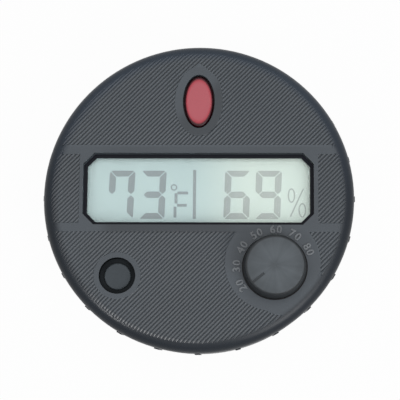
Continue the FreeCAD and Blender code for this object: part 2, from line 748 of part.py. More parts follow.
def lamp():
    lens = new_body("lamp_lens", y=LENS_Y)
    for change, height in (
        ("+ 2 * Dims.lens_flange", "Dims.lens_flange_thickness"),
        ("- 2 * Dims.lens_play", f"{LENS_TOP} - {LENS_FLANGE_LOW}"),
    ):
        outline = new_sketch(lens, LENS_FLANGE_LOW)
        width, length = f"(Dims.lens_hole_width {change})", f"(Dims.lens_hole_height {change})"
        add_upright_ellipse(outline, width, length)
        pad(lens, outline, height)
    round_top_edges(lens, LENS_TOP, "Dims.lens_round")

    led = block("led", "0", LENS_Y, BOARD_TOP, "Dims.led_length", "Dims.led_width", "Dims.led_height")
    cup_low = f"({BOARD_TOP} + Dims.led_height - Dims.led_cup_depth)"
    cup = rod("led_cup", "0", LENS_Y, cup_low, "Dims.led_cup_radius", "Dims.led_height")
    keep(cut("lamp_led", led, cup), "lamp_led")


def push_button():
    place = (BUTTON_X, BUTTON_Y)
    cap = new_body("button_cap", *place)
    stem_low = f"({PLUNGER_TOP} + Dims.plunger_gap)"
    revolve(cap, [
        ("0", BUTTON_TOP),
        ("Dims.button_radius", BUTTON_TOP),
        ("Dims.button_radius", FLANGE_TOP),
        (BUTTON_FLANGE, FLANGE_TOP),
        (BUTTON_FLANGE, FLANGE_LOW),
        ("Dims.button_stem_radius", FLANGE_LOW),
        ("Dims.button_stem_radius", stem_low),
        ("0", stem_low),
    ])
    round_top_edges(cap, BUTTON_TOP, "Dims.button_round")

    switch = new_body("switch_body", *place)
    outline = new_sketch(switch, BOARD_TOP)
    half = "(Dims.switch_size / 2)"
    add_rectangle(outline, f"-{half}", half, f"-{half}", half)
    pad(switch, outline, "Dims.switch_height")
    bore = new_sketch(switch, SWITCH_TOP)
    add_circle(bore, "(Dims.plunger_radius + Dims.button_play)")
    pocket(switch, bore, "Dims.switch_height - Dims.switch_floor")
    plunger = rod("plunger", *place, PLUNGER_LOW, "Dims.plunger_radius", f"{PLUNGER_TOP} - {PLUNGER_LOW}")
    keep(plunger, "switch_plunger")

    # The snap dome stands on its rim and bows up to the plunger.
    dome = new_body("switch_dome", *place)
    metal = "Dims.dome_thickness"
    shoulder = "(Dims.plunger_radius / 2)"
    revolve(dome, [
        ("0", f"({DOME_TOP} - {metal})"),
        (shoulder, f"({DOME_TOP} - 2 * {metal})"),
        (f"(Dims.plunger_radius - {metal})", DOME_LOW),
        ("Dims.plunger_radius", DOME_LOW),
        ("Dims.plunger_radius", f"({DOME_LOW} + {metal})"),
        (shoulder, f"({DOME_TOP} - {metal})"),
        ("0", DOME_TOP),
    ])


def set_knob():
    place = (KNOB_X, KNOB_Y)
    knob = new_body("set_knob", *place)
    top_radius = "(Dims.knob_radius - Dims.knob_draft)"
    hub = "(Dims.stem_radius + Dims.knob_hub_wall)"
    hollow = f"({top_radius} - Dims.knob_skin)"
    hollow_top = f"({KNOB_TOP} - Dims.knob_skin)"
    revolve(knob, [
        ("0", KNOB_TOP),
        (top_radius, KNOB_TOP),
        ("Dims.knob_radius", KNOB_LOW),
        (hollow, KNOB_LOW),
        (hollow, hollow_top),
        (hub, hollow_top),
        (hub, KNOB_LOW),
        ("Dims.stem_radius", KNOB_LOW),
        ("Dims.stem_radius", CLIP_TOP),
        (GROOVE_RADIUS, CLIP_TOP),
        (GROOVE_RADIUS, CLIP_LOW),
        ("Dims.stem_radius", CLIP_LOW),
        ("Dims.stem_radius", STEM_LOW),
        ("0", STEM_LOW),
    ])
    round_top_edges(knob, KNOB_TOP, "Dims.knob_round")
    pointer = new_sketch(knob, KNOB_TOP, turn="Dims.pointer_angle")
    half_pointer = "(Dims.pointer_width / 2)"
    pointer_end = f"({top_radius} - Dims.knob_round)"
    add_rectangle(pointer, "Dims.pointer_start", pointer_end, f"-{half_pointer}", half_pointer)
    pocket(knob, pointer, "Dims.pointer_depth")
    flat_top = f"({POT_TOP} + Dims.rotor_play)"
    flat = new_sketch(knob, flat_top)
    across = "2 * Dims.stem_radius"
    add_rectangle(flat, FLAT_X, across, f"-{across}", across)
    pocket(knob, flat, f"{flat_top} - {STEM_LOW}")

    # The clip snaps into the stem's groove under the face wall and has one open mouth.
    clip = new_body("knob_clip", *place)
    ring = new_sketch(clip, f"{CLIP_LOW} + Dims.clip_play / 2")
    add_circle(ring, f"({GROOVE_RADIUS} + Dims.clip_play)")
    add_circle(ring, "(Dims.stem_radius + Dims.clip_wall)")
    pad(clip, ring, "Dims.clip_thickness - Dims.clip_play")
    mouth = new_sketch(clip, CLIP_TOP)
    half_mouth = f"({GROOVE_RADIUS} - Dims.clip_thickness)"
    add_rectangle(mouth, "0", "2 * Dims.stem_radius", f"-{half_mouth}", half_mouth)
    pocket(clip, mouth, "Dims.clip_thickness")

    # The rotor's socket is round with one flat side that keys the stem.
    disc = rod("rotor_disc", *place, ROTOR_LOW, ROTOR_RADIUS, f"{POT_TOP} - {ROTOR_LOW}")
    bore = rod("rotor_bore", *place, SOCKET_LOW, SOCKET_RADIUS, "Dims.pot_size")
    key_x = f"({KNOB_X} + {FLAT_X} + Dims.rotor_play + Dims.stem_radius)"
    key = block("rotor_key", key_x, KNOB_Y, ROTOR_LOW, across, "4 * Dims.stem_radius", "2 * Dims.pot_size")
    keep(cut("rotor", disc, cut("rotor_socket", bore, key)), "potentiometer_rotor")

    housing = new_body("potentiometer_body", *place)
    half = "(Dims.pot_size / 2)"
    outline = new_sketch(housing, BOARD_TOP)
    add_rectangle(outline, f"-{half}", half, f"-{half}", half)
    pad(housing, outline, f"{POT_TOP} - {BOARD_TOP}")
    seat = new_sketch(housing, POT_TOP)
    add_circle(seat, f"({ROTOR_RADIUS} + Dims.rotor_play)")
    pocket(housing, seat, f"{POT_TOP} - {BOARD_TOP} - Dims.pot_floor")


# ---------------------------------------------------------------- board and what it carries


def circuit_board():
    board = new_body("circuit_board")
    disc = new_sketch(board, BOARD_LOW)
    add_circle(disc, BOARD_RADIUS)
    pad(board, disc, "Dims.board_thickness")
    for x, y in BOSS_PLACES:
        notch = new_sketch(board, BOARD_TOP)
        add_circle(notch, "(Dims.boss_radius + Dims.board_gap / 2)", x, y)
        pocket(board, notch, "Dims.board_thickness")
    holes = new_sketch(board, BOARD_TOP)
    for x, y in POST_PLACES:
        add_circle(holes, "(Dims.board_screw_radius + Dims.board_hole_play)", x, y)
    for x, y in PEG_PLACES:
        add_circle(holes, "(Dims.peg_radius + Dims.board_hole_play / 2)", x, f"(Dims.window_y + {y})")
    pocket(board, holes, "Dims.board_thickness")


def board_parts():
    """The parts soldered under the board: they hang from its lower face."""
    size = "Dims.chip_size"
    chip_x = f"({size} / 2 + Dims.chip_edge_gap - {BOARD_RADIUS})"
    chip_low = f"{BOARD_LOW} - Dims.chip_thickness"
    chip = block("chip", chip_x, "Dims.chip_y", chip_low, size, size, "Dims.chip_thickness")
    keep(chip, "controller_chip")

    can_end = f"(Dims.chip_y - {size} / 2 - Dims.crystal_gap)"
    can = rod("can", chip_x, can_end, f"{BOARD_LOW} - Dims.crystal_radius",
              "Dims.crystal_radius", "Dims.crystal_length")
    can.Placement.Rotation = FreeCAD.Rotation(FreeCAD.Vector(1, 0, 0), 90)
    keep(can, "timing_crystal")

    resistor_x = f"({BOARD_RADIUS} - Dims.resistor_edge_gap - Dims.resistor_length / 2)"
    pitch = "(Dims.resistor_width + Dims.resistor_gap)"
    resistor_low = f"{BOARD_LOW} - Dims.resistor_height"
    group("resistors", [
        block(f"resistor_{number + 3}", resistor_x, f"({number} * {pitch})", resistor_low,
              "Dims.resistor_length", "Dims.resistor_width", "Dims.resistor_height")
        for number in range(-2, 3)
    ])

    sensor_low = f"({BOARD_LOW} - Dims.sensor_height)"
    sensor = block("sensor", "0", VENT_Y, sensor_low,
                   "Dims.sensor_length", "Dims.sensor_width", "Dims.sensor_height")
    port = rod("port", "0", VENT_Y, f"{sensor_low} - Dims.sensor_port_depth",
               "Dims.sensor_port_radius", "2 * Dims.sensor_port_depth")
    keep(cut("humidity_sensor", sensor, port), "humidity_sensor")

    bead = new_body("temperature_bead", "(Dims.sensor_length / 2 + Dims.bead_gap + Dims.bead_radius)", VENT_Y)
    bead_top = f"({BOARD_LOW} - Dims.bead_lead_length)"
    half_round = "Dims.bead_radius / 2"
    bead_low = f"({bead_top} - 2 * Dims.bead_radius)"
    revolve(bead, [
        ("0", BOARD_LOW),
        ("Dims.bead_lead_radius", BOARD_LOW),
        ("Dims.bead_lead_radius", bead_top),
        ("Dims.bead_radius", f"({bead_top} - {half_round})"),
        ("Dims.bead_radius", f"({bead_low} + {half_round})"),
        (half_round, bead_low),
        ("0", bead_low),
    ])

    felt = block("felt", "0", VENT_Y, COVER_IN, f"({VENT_SPAN} + Dims.vent_width + 2 * Dims.filter_margin)",
                 "(Dims.vent_length + 2 * Dims.filter_margin)", "Dims.filter_thickness")
    keep(felt, "vent_filter")


# ---------------------------------------------------------------- power


def power():
    cell = new_body("coin_cell")
    cap_radius = "(Dims.cell_radius - Dims.cell_cap_inset)"
    cap_low = f"({CELL_TOP} - Dims.cell_cap_step)"
    revolve(cell, [
        ("0", CELL_LOW),
        ("Dims.cell_radius", CELL_LOW),
        ("Dims.cell_radius", cap_low),
        (cap_radius, cap_low),
        (cap_radius, CELL_TOP),
        ("0", CELL_TOP),
    ])

    # A leaf under the board bends down to the middle of the cell.
    metal = "Dims.contact_thickness"
    middle = "Dims.contact_reach / 2"
    foot_start = f"(-1 * {cap_radius})"
    foot_end = f"({foot_start} + Dims.contact_foot)"
    bent_strip("negative_contact", [
        (foot_start, BOARD_LOW),
        (foot_end, BOARD_LOW),
        (f"-{middle}", f"({CELL_TOP} + {metal})"),
        (middle, f"({CELL_TOP} + {metal})"),
        ("Dims.contact_reach", f"({CELL_TOP} + 3 * {metal})"),
        ("Dims.contact_reach", f"({CELL_TOP} + 2 * {metal})"),
        (middle, CELL_TOP),
        (f"-{middle}", CELL_TOP),
        (foot_end, f"({BOARD_LOW} - {metal})"),
        (foot_start, f"({BOARD_LOW} - {metal})"),
    ])

    # An angle under the board stands beside the cell and reaches down its wall.
    inner = "(Dims.cell_radius + Dims.contact_gap)"
    outer = f"({inner} + {metal})"
    toe = f"({CHAMBER_ROOF} + Dims.contact_slot_play)"
    bent_strip("positive_contact", [
        (inner, toe),
        (outer, toe),
        (outer, f"({BOARD_LOW} - {metal})"),
        (f"({inner} + Dims.contact_foot)", f"({BOARD_LOW} - {metal})"),
        (f"({inner} + Dims.contact_foot)", BOARD_LOW),
        (inner, BOARD_LOW),
    ])


def bent_strip(label, side):
    """A strip of metal drawn from the side and as wide as the contacts."""
    body = new_body(label)
    sketch = new_sketch(body, role="XZ_Plane")
    add_polygon(sketch, side)
    pad(body, sketch, "Dims.contact_width", both_ways=True)


def battery_door():
    """A disc with a coin slot and a plug whose tabs lock behind the cover's lip."""
    body = new_body("battery_door")
    collar_inner = f"({PLUG_RADIUS} - Dims.plug_wall)"
    revolve(body, [
        ("0", COVER_OUT),
        (DOOR_RADIUS, COVER_OUT),
        (DOOR_RADIUS, DOOR_FLOOR),
        (PLUG_RADIUS, DOOR_FLOOR),
        (PLUG_RADIUS, TAB_TOP),
        (collar_inner, TAB_TOP),
        (collar_inner, DOOR_FLOOR),
        (PLUG_HUB, DOOR_FLOOR),
        (PLUG_HUB, TAB_TOP),
        ("0", TAB_TOP),
    ])
    tab = new_sketch(body, TAB_LOW, turn="Dims.lock_angle")
    root = f"({PLUG_RADIUS} - Dims.plug_wall / 2)"
    half_tab = "(Dims.tab_width / 2)"
    add_rectangle(tab, root, TAB_REACH, f"-{half_tab}", half_tab)
    repeat_round(body, pad(body, tab, "Dims.tab_thickness"), "Dims.tab_count")
    slot = new_sketch(body, f"{COVER_OUT} + Dims.coin_slot_depth")
    half_length, half_width = "(Dims.coin_slot_length / 2)", "(Dims.coin_slot_width / 2)"
    add_rectangle(slot, f"-{half_length}", half_length, f"-{half_width}", half_width)
    pocket(body, slot, "Dims.coin_slot_depth")


def screws(label, seat, places, prefix):
    """Screws that point up with their heads under the height seat, as one node."""
    radius, length = f"Dims.{prefix}radius", f"Dims.{prefix}length"
    head_radius, head_height = f"Dims.{prefix}head_radius", f"Dims.{prefix}head_height"
    wide, narrow, deep = "Dims.drive_length", "Dims.drive_width", "2 * Dims.drive_depth"
    head_low = f"({seat} - {head_height})"
    slot_low = f"({head_low} - Dims.drive_depth)"
    made = []
    for number, (x, y) in enumerate(places, start=1):
        name = f"{label}_{number}"
        head = rod(name + "_head", x, y, head_low, head_radius, head_height)
        shank_low = f"({seat} - {head_height} / 2)"
        shank = rod(name + "_shank", x, y, shank_low, radius, f"({length} + {head_height} / 2)")
        across = block(name + "_across", x, y, slot_low, wide, narrow, deep)
        along = block(name + "_along", x, y, slot_low, narrow, wide, deep)
        made.append(cut(name, join(name + "_blank", head, shank), join(name + "_cross", across, along)))
    group(label, made)


def write_steps():
    """Checks every object and node, then writes one STEP file for each node."""
    doc.recompute()
    for item in doc.Objects:
        if "Invalid" in item.State or "Error" in item.State:
            raise ValueError(f"{item.Label} failed: {item.State}")
    os.makedirs("parts", exist_ok=True)
    for node in nodes:
        shape = node.Shape
        if shape.isNull() or not shape.isValid() or not shape.Solids:
            raise ValueError(f"{node.Label} has no valid solid")
        shape.exportStep(os.path.join("parts", node.Label + ".step"))
        print(f"{node.Label:22s} solids {len(shape.Solids)}  volume {shape.Volume:9.2f}")


front_shell()
rear_cover()
display()
lamp()
push_button()
set_knob()
circuit_board()
board_parts()
power()
battery_door()
screws("cover_screws", SCREW_SHELF, BOSS_PLACES, "screw_")
screws("board_screws", BOARD_LOW, POST_PLACES, "board_screw_")
write_steps()
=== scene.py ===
import json
import math

import bpy
from mathutils import Matrix, Vector


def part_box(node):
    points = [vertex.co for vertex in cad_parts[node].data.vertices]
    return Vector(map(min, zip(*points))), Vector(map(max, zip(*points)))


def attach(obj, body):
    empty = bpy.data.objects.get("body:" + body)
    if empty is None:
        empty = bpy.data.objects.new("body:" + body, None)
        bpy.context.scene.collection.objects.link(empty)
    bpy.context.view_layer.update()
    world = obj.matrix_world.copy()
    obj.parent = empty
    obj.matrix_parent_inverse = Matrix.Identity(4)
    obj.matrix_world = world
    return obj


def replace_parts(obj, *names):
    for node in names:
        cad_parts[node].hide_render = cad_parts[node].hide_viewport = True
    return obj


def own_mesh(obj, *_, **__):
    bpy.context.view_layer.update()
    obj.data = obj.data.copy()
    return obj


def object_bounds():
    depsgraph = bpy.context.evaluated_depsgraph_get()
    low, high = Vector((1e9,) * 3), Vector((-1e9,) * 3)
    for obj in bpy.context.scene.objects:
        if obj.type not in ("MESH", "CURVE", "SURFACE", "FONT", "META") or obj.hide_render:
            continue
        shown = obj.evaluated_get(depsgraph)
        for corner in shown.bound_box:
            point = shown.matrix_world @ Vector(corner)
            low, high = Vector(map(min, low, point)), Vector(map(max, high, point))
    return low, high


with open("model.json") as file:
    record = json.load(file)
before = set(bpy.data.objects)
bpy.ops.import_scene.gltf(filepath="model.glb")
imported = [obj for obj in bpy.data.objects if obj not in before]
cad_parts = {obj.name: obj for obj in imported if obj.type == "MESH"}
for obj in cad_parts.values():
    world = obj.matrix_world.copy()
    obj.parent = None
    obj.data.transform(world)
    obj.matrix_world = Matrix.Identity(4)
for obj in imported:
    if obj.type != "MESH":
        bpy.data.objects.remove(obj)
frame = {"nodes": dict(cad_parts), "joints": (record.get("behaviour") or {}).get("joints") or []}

cad_low, cad_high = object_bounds()
MM = 0.001

# ---------------------------------------------------------------- places read from the frame
shell_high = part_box("front_shell")[1]
FACE = shell_high.z                                # top of the front face
knob_low, knob_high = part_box("set_knob")
KNOB = (knob_low + knob_high) / 2
cap_low, cap_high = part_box("button_cap")
CAP = (cap_low + cap_high) / 2
lens_low, lens_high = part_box("lamp_lens")
LENS = (lens_low + lens_high) / 2
lens_rim = [v.co for v in frame["nodes"]["lamp_lens"].data.vertices if v.co.z > lens_high.z - 0.6 * MM]
LENS_HALF = (max(v.x for v in lens_rim) - LENS.x, max(v.y for v in lens_rim) - LENS.y)
cell_low, cell_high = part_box("front_glass")
CELL = (cell_low + cell_high) / 2
CELL_PLANE = cell_low.z + 0.02 * MM                # just in front of where the two sheets of glass meet

# ---------------------------------------------------------------- sizes of what is added, in metres
RIM_START, RIM_END = 26.9 * MM, 28.4 * MM          # where the face rounds over into the wall
RIM_OFF = (0.3 * MM, -0.3 * MM)                    # the middle of the rim's gloss and painted shade
FOOT_FADE = (0.4 * MM, 2.6 * MM)                   # over this height the wall's gloss and painted shade begin
FRONT_WALL = (FACE - 6 * MM, FACE - 5 * MM)        # and here what belongs to the face alone
WORN_AIM = (-0.37, -0.93)                          # towards the worn part of the rim
WORN_SPREAD = (0.84, 0.98)                         # cosines of the angle from there
WORN_RING = ((27.3 * MM, 27.8 * MM), (28.4 * MM, 28.9 * MM))
DARKER_ACROSS = ((-20 * MM, -16.5 * MM), (4 * MM, 10 * MM))   # darker stretch of the lower band
DARKER_SLANT = (-2.5 * MM, 2.0 * MM)                 # across the ground round the lens
DARK_GROOVES_UP, DARK_GROOVES_DOWN = (-3 * MM, 9 * MM), (-20 * MM, -15 * MM)    # where the painted shade in the grooves is darker
VALLEY_FOOT = (FACE - 0.4 * MM, FACE - 0.3 * MM)   # the grooves' shade ends under here
TOP_SOFT = 0.02 * MM
HOLE_FADE = (0.4 * MM, 0.05 * MM)                  # depths in the face where painted shade makes a recess dark, and where it does not
MOAT_FADE = (0.3 * MM, 0.03 * MM)
GROUND_EDGE = (0.97, 1.03)                         # shares of an oval ground
EDGE_SOFT = 0.1 * MM
HOLE = 3.6 * MM                                    # round the push cap
MOAT, MOAT_DEPTH = 6.25 * MM, 0.5 * MM             # the groove the knob's foot stands over
MOAT_INNER = 5.0 * MM
RIDGE_PITCH = 0.61 * MM
GROOVE_WIDTH = 0.55 * MM
GROOVE_DEPTH = 0.15 * MM
PLAIN_LEFT, PLAIN_RIGHT = -22.9 * MM, 23.04 * MM   # plain ground beside the window
PLAIN_TOP, BAND_TOP = 8.2 * MM, 9.98 * MM          # plain band over it
PLAIN_FOOT, BAND_FOOT = -5.3 * MM, -6.94 * MM      # plain band under it
CAP_GROUND = 4.5 * MM
KNOB_GROUND = 9.1 * MM
KNOB_GROUND_OFF = (-0.4 * MM, 0.8 * MM)            # its middle from the knob's
KNOB_SIDE = 6.9 * MM                               # and the plain patch between the knob and the rim
KNOB_SIDE_OFF = (2.1 * MM, -2.4 * MM)
LENS_GROUND = (4.65 * MM, 6.85 * MM)
LENS_TIP = 7.67 * MM                               # lens centre to the point over it
TURNED_PITCH = 0.16 * MM                           # of the fine rings on the knob's top
KNOB_SHADE_EDGE = (5.15 * MM, 5.45 * MM)             # painted shade darkens the knob from here out, over its rounded edge and sides
KNOB_SHADE_OFF = 0.12 * MM                           # its middle from the knob's, each way, so the painted shade is wider at the upper left
DIAL_RING = 7.3 * MM
DIAL_HEIGHT = 1.55 * MM
DIAL_RAISED = 0.20 * MM
DIAL_MIDDLE = FACE + DIAL_RAISED / 2 - 0.01 * MM   # mid height of the digits, their foot a little sunk
DIAL_START, DIAL_STEP = 219.0, 10.05               # degrees
DIAL_NUMBERS = "20 30 40 50 60 70 80"


# ================================================================ finishes
def paint(red, green, blue):
    """A colour as a paint card gives it, 0 to 255, for a shader."""
    def light(c):
        c /= 255
        return c / 12.92 if c <= 0.04045 else ((c + 0.055) / 1.055) ** 2.4
    return (light(red), light(green), light(blue), 1.0)


def tinted(colour, factor):
    """The same colour, darker or lighter by a factor."""
    return tuple(c * factor for c in colour[:3]) + (1.0,)


class Tone:
    """One socket of a finish. Sums written with it add Math nodes."""

    def __init__(self, finish, socket):
        self.finish, self.socket = finish, socket

    def reckon(self, operation, *terms):
        return self.finish.node("ShaderNodeMath", {"operation": operation}, dict(enumerate(terms)))

    def __add__(self, other):
        return self.reckon("ADD", self, other)

    def __radd__(self, other):
        return self.reckon("ADD", other, self)

    def __sub__(self, other):
        return self.reckon("SUBTRACT", self, other)

    def __rsub__(self, other):
        return self.reckon("SUBTRACT", other, self)

    def __mul__(self, other):
        return self.reckon("MULTIPLY", self, other)

    def __rmul__(self, other):
        return self.reckon("MULTIPLY", other, self)

    def __truediv__(self, other):
        return self.reckon("DIVIDE", self, other)

    def __pow__(self, other):
        return self.reckon("POWER", self, other)

    def __abs__(self):
        return self.reckon("ABSOLUTE", self)


class Finish:
    """A material in the making. One method, node, adds all its nodes."""

    def __init__(self, name, room=None):
        self.material = room or bpy.data.materials.new(name)
        self.material.use_nodes = True
        self.tree = self.material.node_tree
        self.tree.nodes.clear()

    def node(self, kind, settings=None, sockets=None, output=0):
        made = self.tree.nodes.new(kind)
        for name, value in (settings or {}).items():
            setattr(made, name, value)
        for name, value in (sockets or {}).items():
            if isinstance(value, Tone):
                self.tree.links.new(value.socket, made.inputs[name])
            else:
                made.inputs[name].default_value = value
        return Tone(self, made.outputs[output]) if len(made.outputs) else None

    def place(self, centre=(0, 0, 0), stretch=(1, 1, 1)):
        """Object coordinates, measured from a centre and stretched."""
        spot = self.node("ShaderNodeTexCoord", output=3)
        moved = self.node("ShaderNodeVectorMath", {"operation": "SUBTRACT"},
                          {0: spot, 1: tuple(centre)})
        return self.node("ShaderNodeMapping", {"vector_type": "POINT"},
                         {"Vector": moved, "Scale": stretch})

    def axes(self, place):
        return [self.node("ShaderNodeSeparateXYZ", None, {0: place}, output=i) for i in range(3)]

    def grain(self, size, detail=2.0, rough=0.5, place=None):
        """Noise whose blotches are about that size across, from 0 to 1."""
        return self.node("ShaderNodeTexNoise", {"noise_dimensions": "3D"},
                         {"Vector": place or self.place(), "Scale": 0.5 / size,
                          "Detail": detail, "Roughness": rough})

    def wave(self, value):
        """The sine of a value."""
        return self.node("ShaderNodeMath", {"operation": "SINE"}, {0: value})

    def step(self, value, low, high):
        """0 below low, 1 above high, and smooth between."""
        return self.node("ShaderNodeMapRange", {"interpolation_type": "SMOOTHSTEP", "clamp": True},
                         {"Value": value, "From Min": low, "From Max": high, "To Min": 0.0, "To Max": 1.0})

    def within(self, value, rise, fall):
        """1 in a range and 0 outside it, smooth over its rise and its fall."""
        return self.step(value, *rise) * (1 - self.step(value, *fall))

    def blend(self, share, first, second):
        """A colour that goes from first to second as share goes from 0 to 1."""
        return self.node("ShaderNodeMix", {"data_type": "RGBA", "clamp_factor": True},
                         {0: share, 6: first, 7: second}, output=2)

    def relief(self, height, depth):
        """A Bump node. height runs from 0 to 1 and depth is what 1 stands for, in metres."""
        return self.node("ShaderNodeBump", None, {"Height": height, "Distance": depth, "Strength": 1.0})

    def skin(self, **sockets):
        """The Principled shader. A socket's name is written with _ for its spaces."""
        named = {name.replace("_", " "): value for name, value in sockets.items()}
        return self.node("ShaderNodeBsdfPrincipled", None, named)

    def with_gap(self, share, shader):
        """Painted shade: the shader, but dead black where share is 1, standing in for the shade in a narrow
        gap.
        """
        black = self.skin(Base_Color=paint(4, 5, 6), Roughness=0.9, Specular_IOR_Level=0.02)
        return self.node("ShaderNodeMixShader", None, {0: share, 1: shader, 2: black})

    def done(self, shader, output="ShaderNodeOutputMaterial"):
        self.node(output, None, {"Surface": shader})
        return self.material


def moulded(name, colour, rough=0.45, pit=0.10 * MM, depth=0.006 * MM, shade=0.12, specular=0.3):
    """Moulded plastic: a fine spark-eroded skin, with slow drifts of shade and gloss."""
    f = Finish(name)
    skin = f.grain(pit, 2.0, 0.6)
    drift = f.grain(7 * MM, 2.0, 0.5)
    dark, light = tinted(colour, 1 - shade), tinted(colour, 1 + shade)
    tone = f.blend(f.step(drift * 0.6 + skin * 0.4, 0.3, 0.7), dark, light)
    gloss = rough - 0.05 + 0.10 * drift
    return f.done(f.skin(Base_Color=tone, Roughness=gloss, Specular_IOR_Level=specular,
                         Normal=f.relief(skin, depth)))


def shell_plastic(name, colour, polished):
    """The case: spark-eroded on its faces, glossier on its rim and wall, which painted shade makes blacker,
    with a painted highlight towards the top; painted shade also darkens its grooves and recesses.
    """
    f = Finish(name)
    x, y, z = f.axes(f.place(centre=(RIM_OFF[0], RIM_OFF[1], 0)))
    reach = (x * x + y * y) ** 0.5

    def away(spot, half=(1, 1)):
        """How far it is from a place on the face, in metres or in half widths of an oval."""
        across = (x + (RIM_OFF[0] - spot[0])) / half[0]
        along = (y + (RIM_OFF[1] - spot[1])) / half[1]
        return (across ** 2.0 + along ** 2.0) ** 0.5

    def sunk(spot, edge, deep, shallow):
        """1 down in a round recess of the face."""
        inside = 1 - f.step(away(spot), edge, edge + EDGE_SOFT)
        return inside * f.within(z, FRONT_WALL, (FACE - deep, FACE - shallow))

    front = f.step(z, *FRONT_WALL)
    rim = f.step(reach, RIM_START, RIM_END) * f.step(z, *FOOT_FADE)
    worn = f.step((x * WORN_AIM[0] + y * WORN_AIM[1]) / reach, *WORN_SPREAD) * f.within(reach, *WORN_RING)
    # painted shade: the bottoms of the grooves
    groove_shade = f.within(z, VALLEY_FOOT, (FACE - GROOVE_DEPTH, FACE - TOP_SOFT))
    # painted shade: the recess round the push cap
    hole = sunk(CAP, HOLE, *HOLE_FADE)
    # painted shade: the moat round the knob's foot
    moat = sunk(KNOB, MOAT, *MOAT_FADE)
    ground = 1 - f.step(away(LENS, LENS_GROUND), *GROUND_EDGE)
    painted_light_above = f.step(y, BAND_TOP - EDGE_SOFT, BAND_TOP + EDGE_SOFT) * (1 - ground)
    slant = x - y + (RIM_OFF[0] - LENS.x + LENS.y - RIM_OFF[1])
    darker_ground = ground * f.step(slant, *DARKER_SLANT)
    darker_band = f.within(x, *DARKER_ACROSS) * f.within(
        y, (BAND_FOOT - EDGE_SOFT, BAND_FOOT + EDGE_SOFT), (PLAIN_FOOT, PLAIN_FOOT + EDGE_SOFT))

    skin = f.grain(0.10 * MM, 2.0, 0.6)
    drift = f.grain(7 * MM, 2.0, 0.5)
    tone = f.blend(f.step(drift * 0.6 + skin * 0.4, 0.3, 0.7), tinted(colour, 0.88), tinted(colour, 1.12))
    # painted light: the face over the upper band is lighter
    tone = f.blend(painted_light_above * front, tone, tinted(colour, 1.14))
    # darker patches: the lens's ground towards its lower right, and a stretch of the band under the window
    tone = f.blend((darker_ground + darker_band) * front, tone, tinted(colour, 0.66))
    # painted shade in the grooves, darker in the upper and lower parts of the face
    depth = f.step(y, *DARK_GROOVES_UP) + 0.6 * (1 - f.step(y, *DARK_GROOVES_DOWN))
    tone = f.blend(groove_shade, tone, f.blend(depth, tinted(colour, 0.60), tinted(colour, 0.42)))
    # painted highlight: the rim's painted shade is lighter towards the top
    polished = f.blend(f.step(y / reach, -0.2, 0.9), polished, tinted(polished, 2.6))
    # painted shade: the rim and wall take their darker colour, and the knob's moat a near-black one
    tone = f.blend(moat, f.blend(rim, tone, polished), paint(14, 15, 17))
    shader = f.skin(Base_Color=tone, Roughness=0.37 + 0.10 * drift - 0.05 * rim - 0.14 * worn,
                    Specular_IOR_Level=0.18, Coat_Weight=0.22 * worn, Coat_Roughness=0.24,
                    Normal=f.relief(skin * (1 - 0.6 * rim - 0.35 * worn), 0.006 * MM))
    return f.done(f.with_gap(hole, shader))


def turned_plastic(name, colour, rough=0.4):
    """The knob: moulded in a turned cavity, so its top carries fine rings. Its colour carries a painted
    sheen: radial streaks, with a darker middle, outer part and left side; painted shade makes its rounded
    edge and sides dark.
    """
    f = Finish(name)
    x, y, z = f.axes(f.place(centre=(KNOB.x, KNOB.y, 0)))
    reach = (x * x + y * y) ** 0.5
    rings = f.wave(reach * (2 * math.pi / TURNED_PITCH))
    skin = f.grain(0.12 * MM, 2.0, 0.6)
    middle = 1 - f.step(reach, 0.2 * MM, 1.7 * MM)
    outer = f.step(reach, 2.6 * MM, 5.6 * MM)
    drift = f.grain(1.6 * MM, 3.0, 0.6)
    flat = f.node("ShaderNodeCombineXYZ", None, {0: x, 1: y})
    heading = f.node("ShaderNodeVectorMath", {"operation": "NORMALIZE"}, {0: flat})
    fan = f.node("ShaderNodeTexNoise", {"noise_dimensions": "3D"},
                 {"Vector": heading, "Scale": 3.4, "Detail": 3.0})
    left_shade = 1 - f.step(x, -4 * MM, 1 * MM)
    # painted sheen and shade on the top: darker middle, outer part and left side, and radial streaks, with a
    # random drift
    shade = middle * 0.27 + outer * 0.26 + left_shade * 0.12 + drift * 0.45 + fan * 0.55
    tone = f.blend(f.step(shade, 0.25, 1.05), tinted(colour, 1.2), tinted(colour, 0.72))
    from_middle = ((x - KNOB_SHADE_OFF) ** 2.0 + (y + KNOB_SHADE_OFF) ** 2.0) ** 0.5
    # painted shade: all but the pale top, so the rounded edge and the sides, are darkened
    top = f.step(z, knob_high.z - 0.45 * MM, knob_high.z - 0.05 * MM)
    top = top * (1 - f.step(from_middle, *KNOB_SHADE_EDGE))
    tone = f.blend(top, tinted(colour, 0.28), tone)
    height = rings * top * 0.5 + skin * 0.6
    return f.done(f.skin(Base_Color=tone, Roughness=rough + 0.12 * fan, Specular_IOR_Level=0.15,
                         Normal=f.relief(height, 0.006 * MM)))


def cap_plastic(name, colour, rough=0.5):
    """The push cap: a matt top, and painted shade that makes its foot down in the hole dead black."""
    f = Finish(name)
    z = f.axes(f.place())[2]
    skin = f.grain(0.14 * MM, 2.0, 0.6)
    drift = f.grain(1.8 * MM, 2.0, 0.5)
    tone = f.blend(f.step(drift * 0.5 + skin * 0.5, 0.3, 0.7), colour, tinted(colour, 1.12))
    # painted shade: below its top, the cap is dead black
    top = f.step(z, cap_high.z - 0.6 * MM, cap_high.z - 0.3 * MM)
    shader = f.skin(Base_Color=tone, Roughness=rough, Specular_IOR_Level=0.12,
                    Normal=f.relief(skin, 0.006 * MM))
    return f.done(f.with_gap(1 - top, shader))


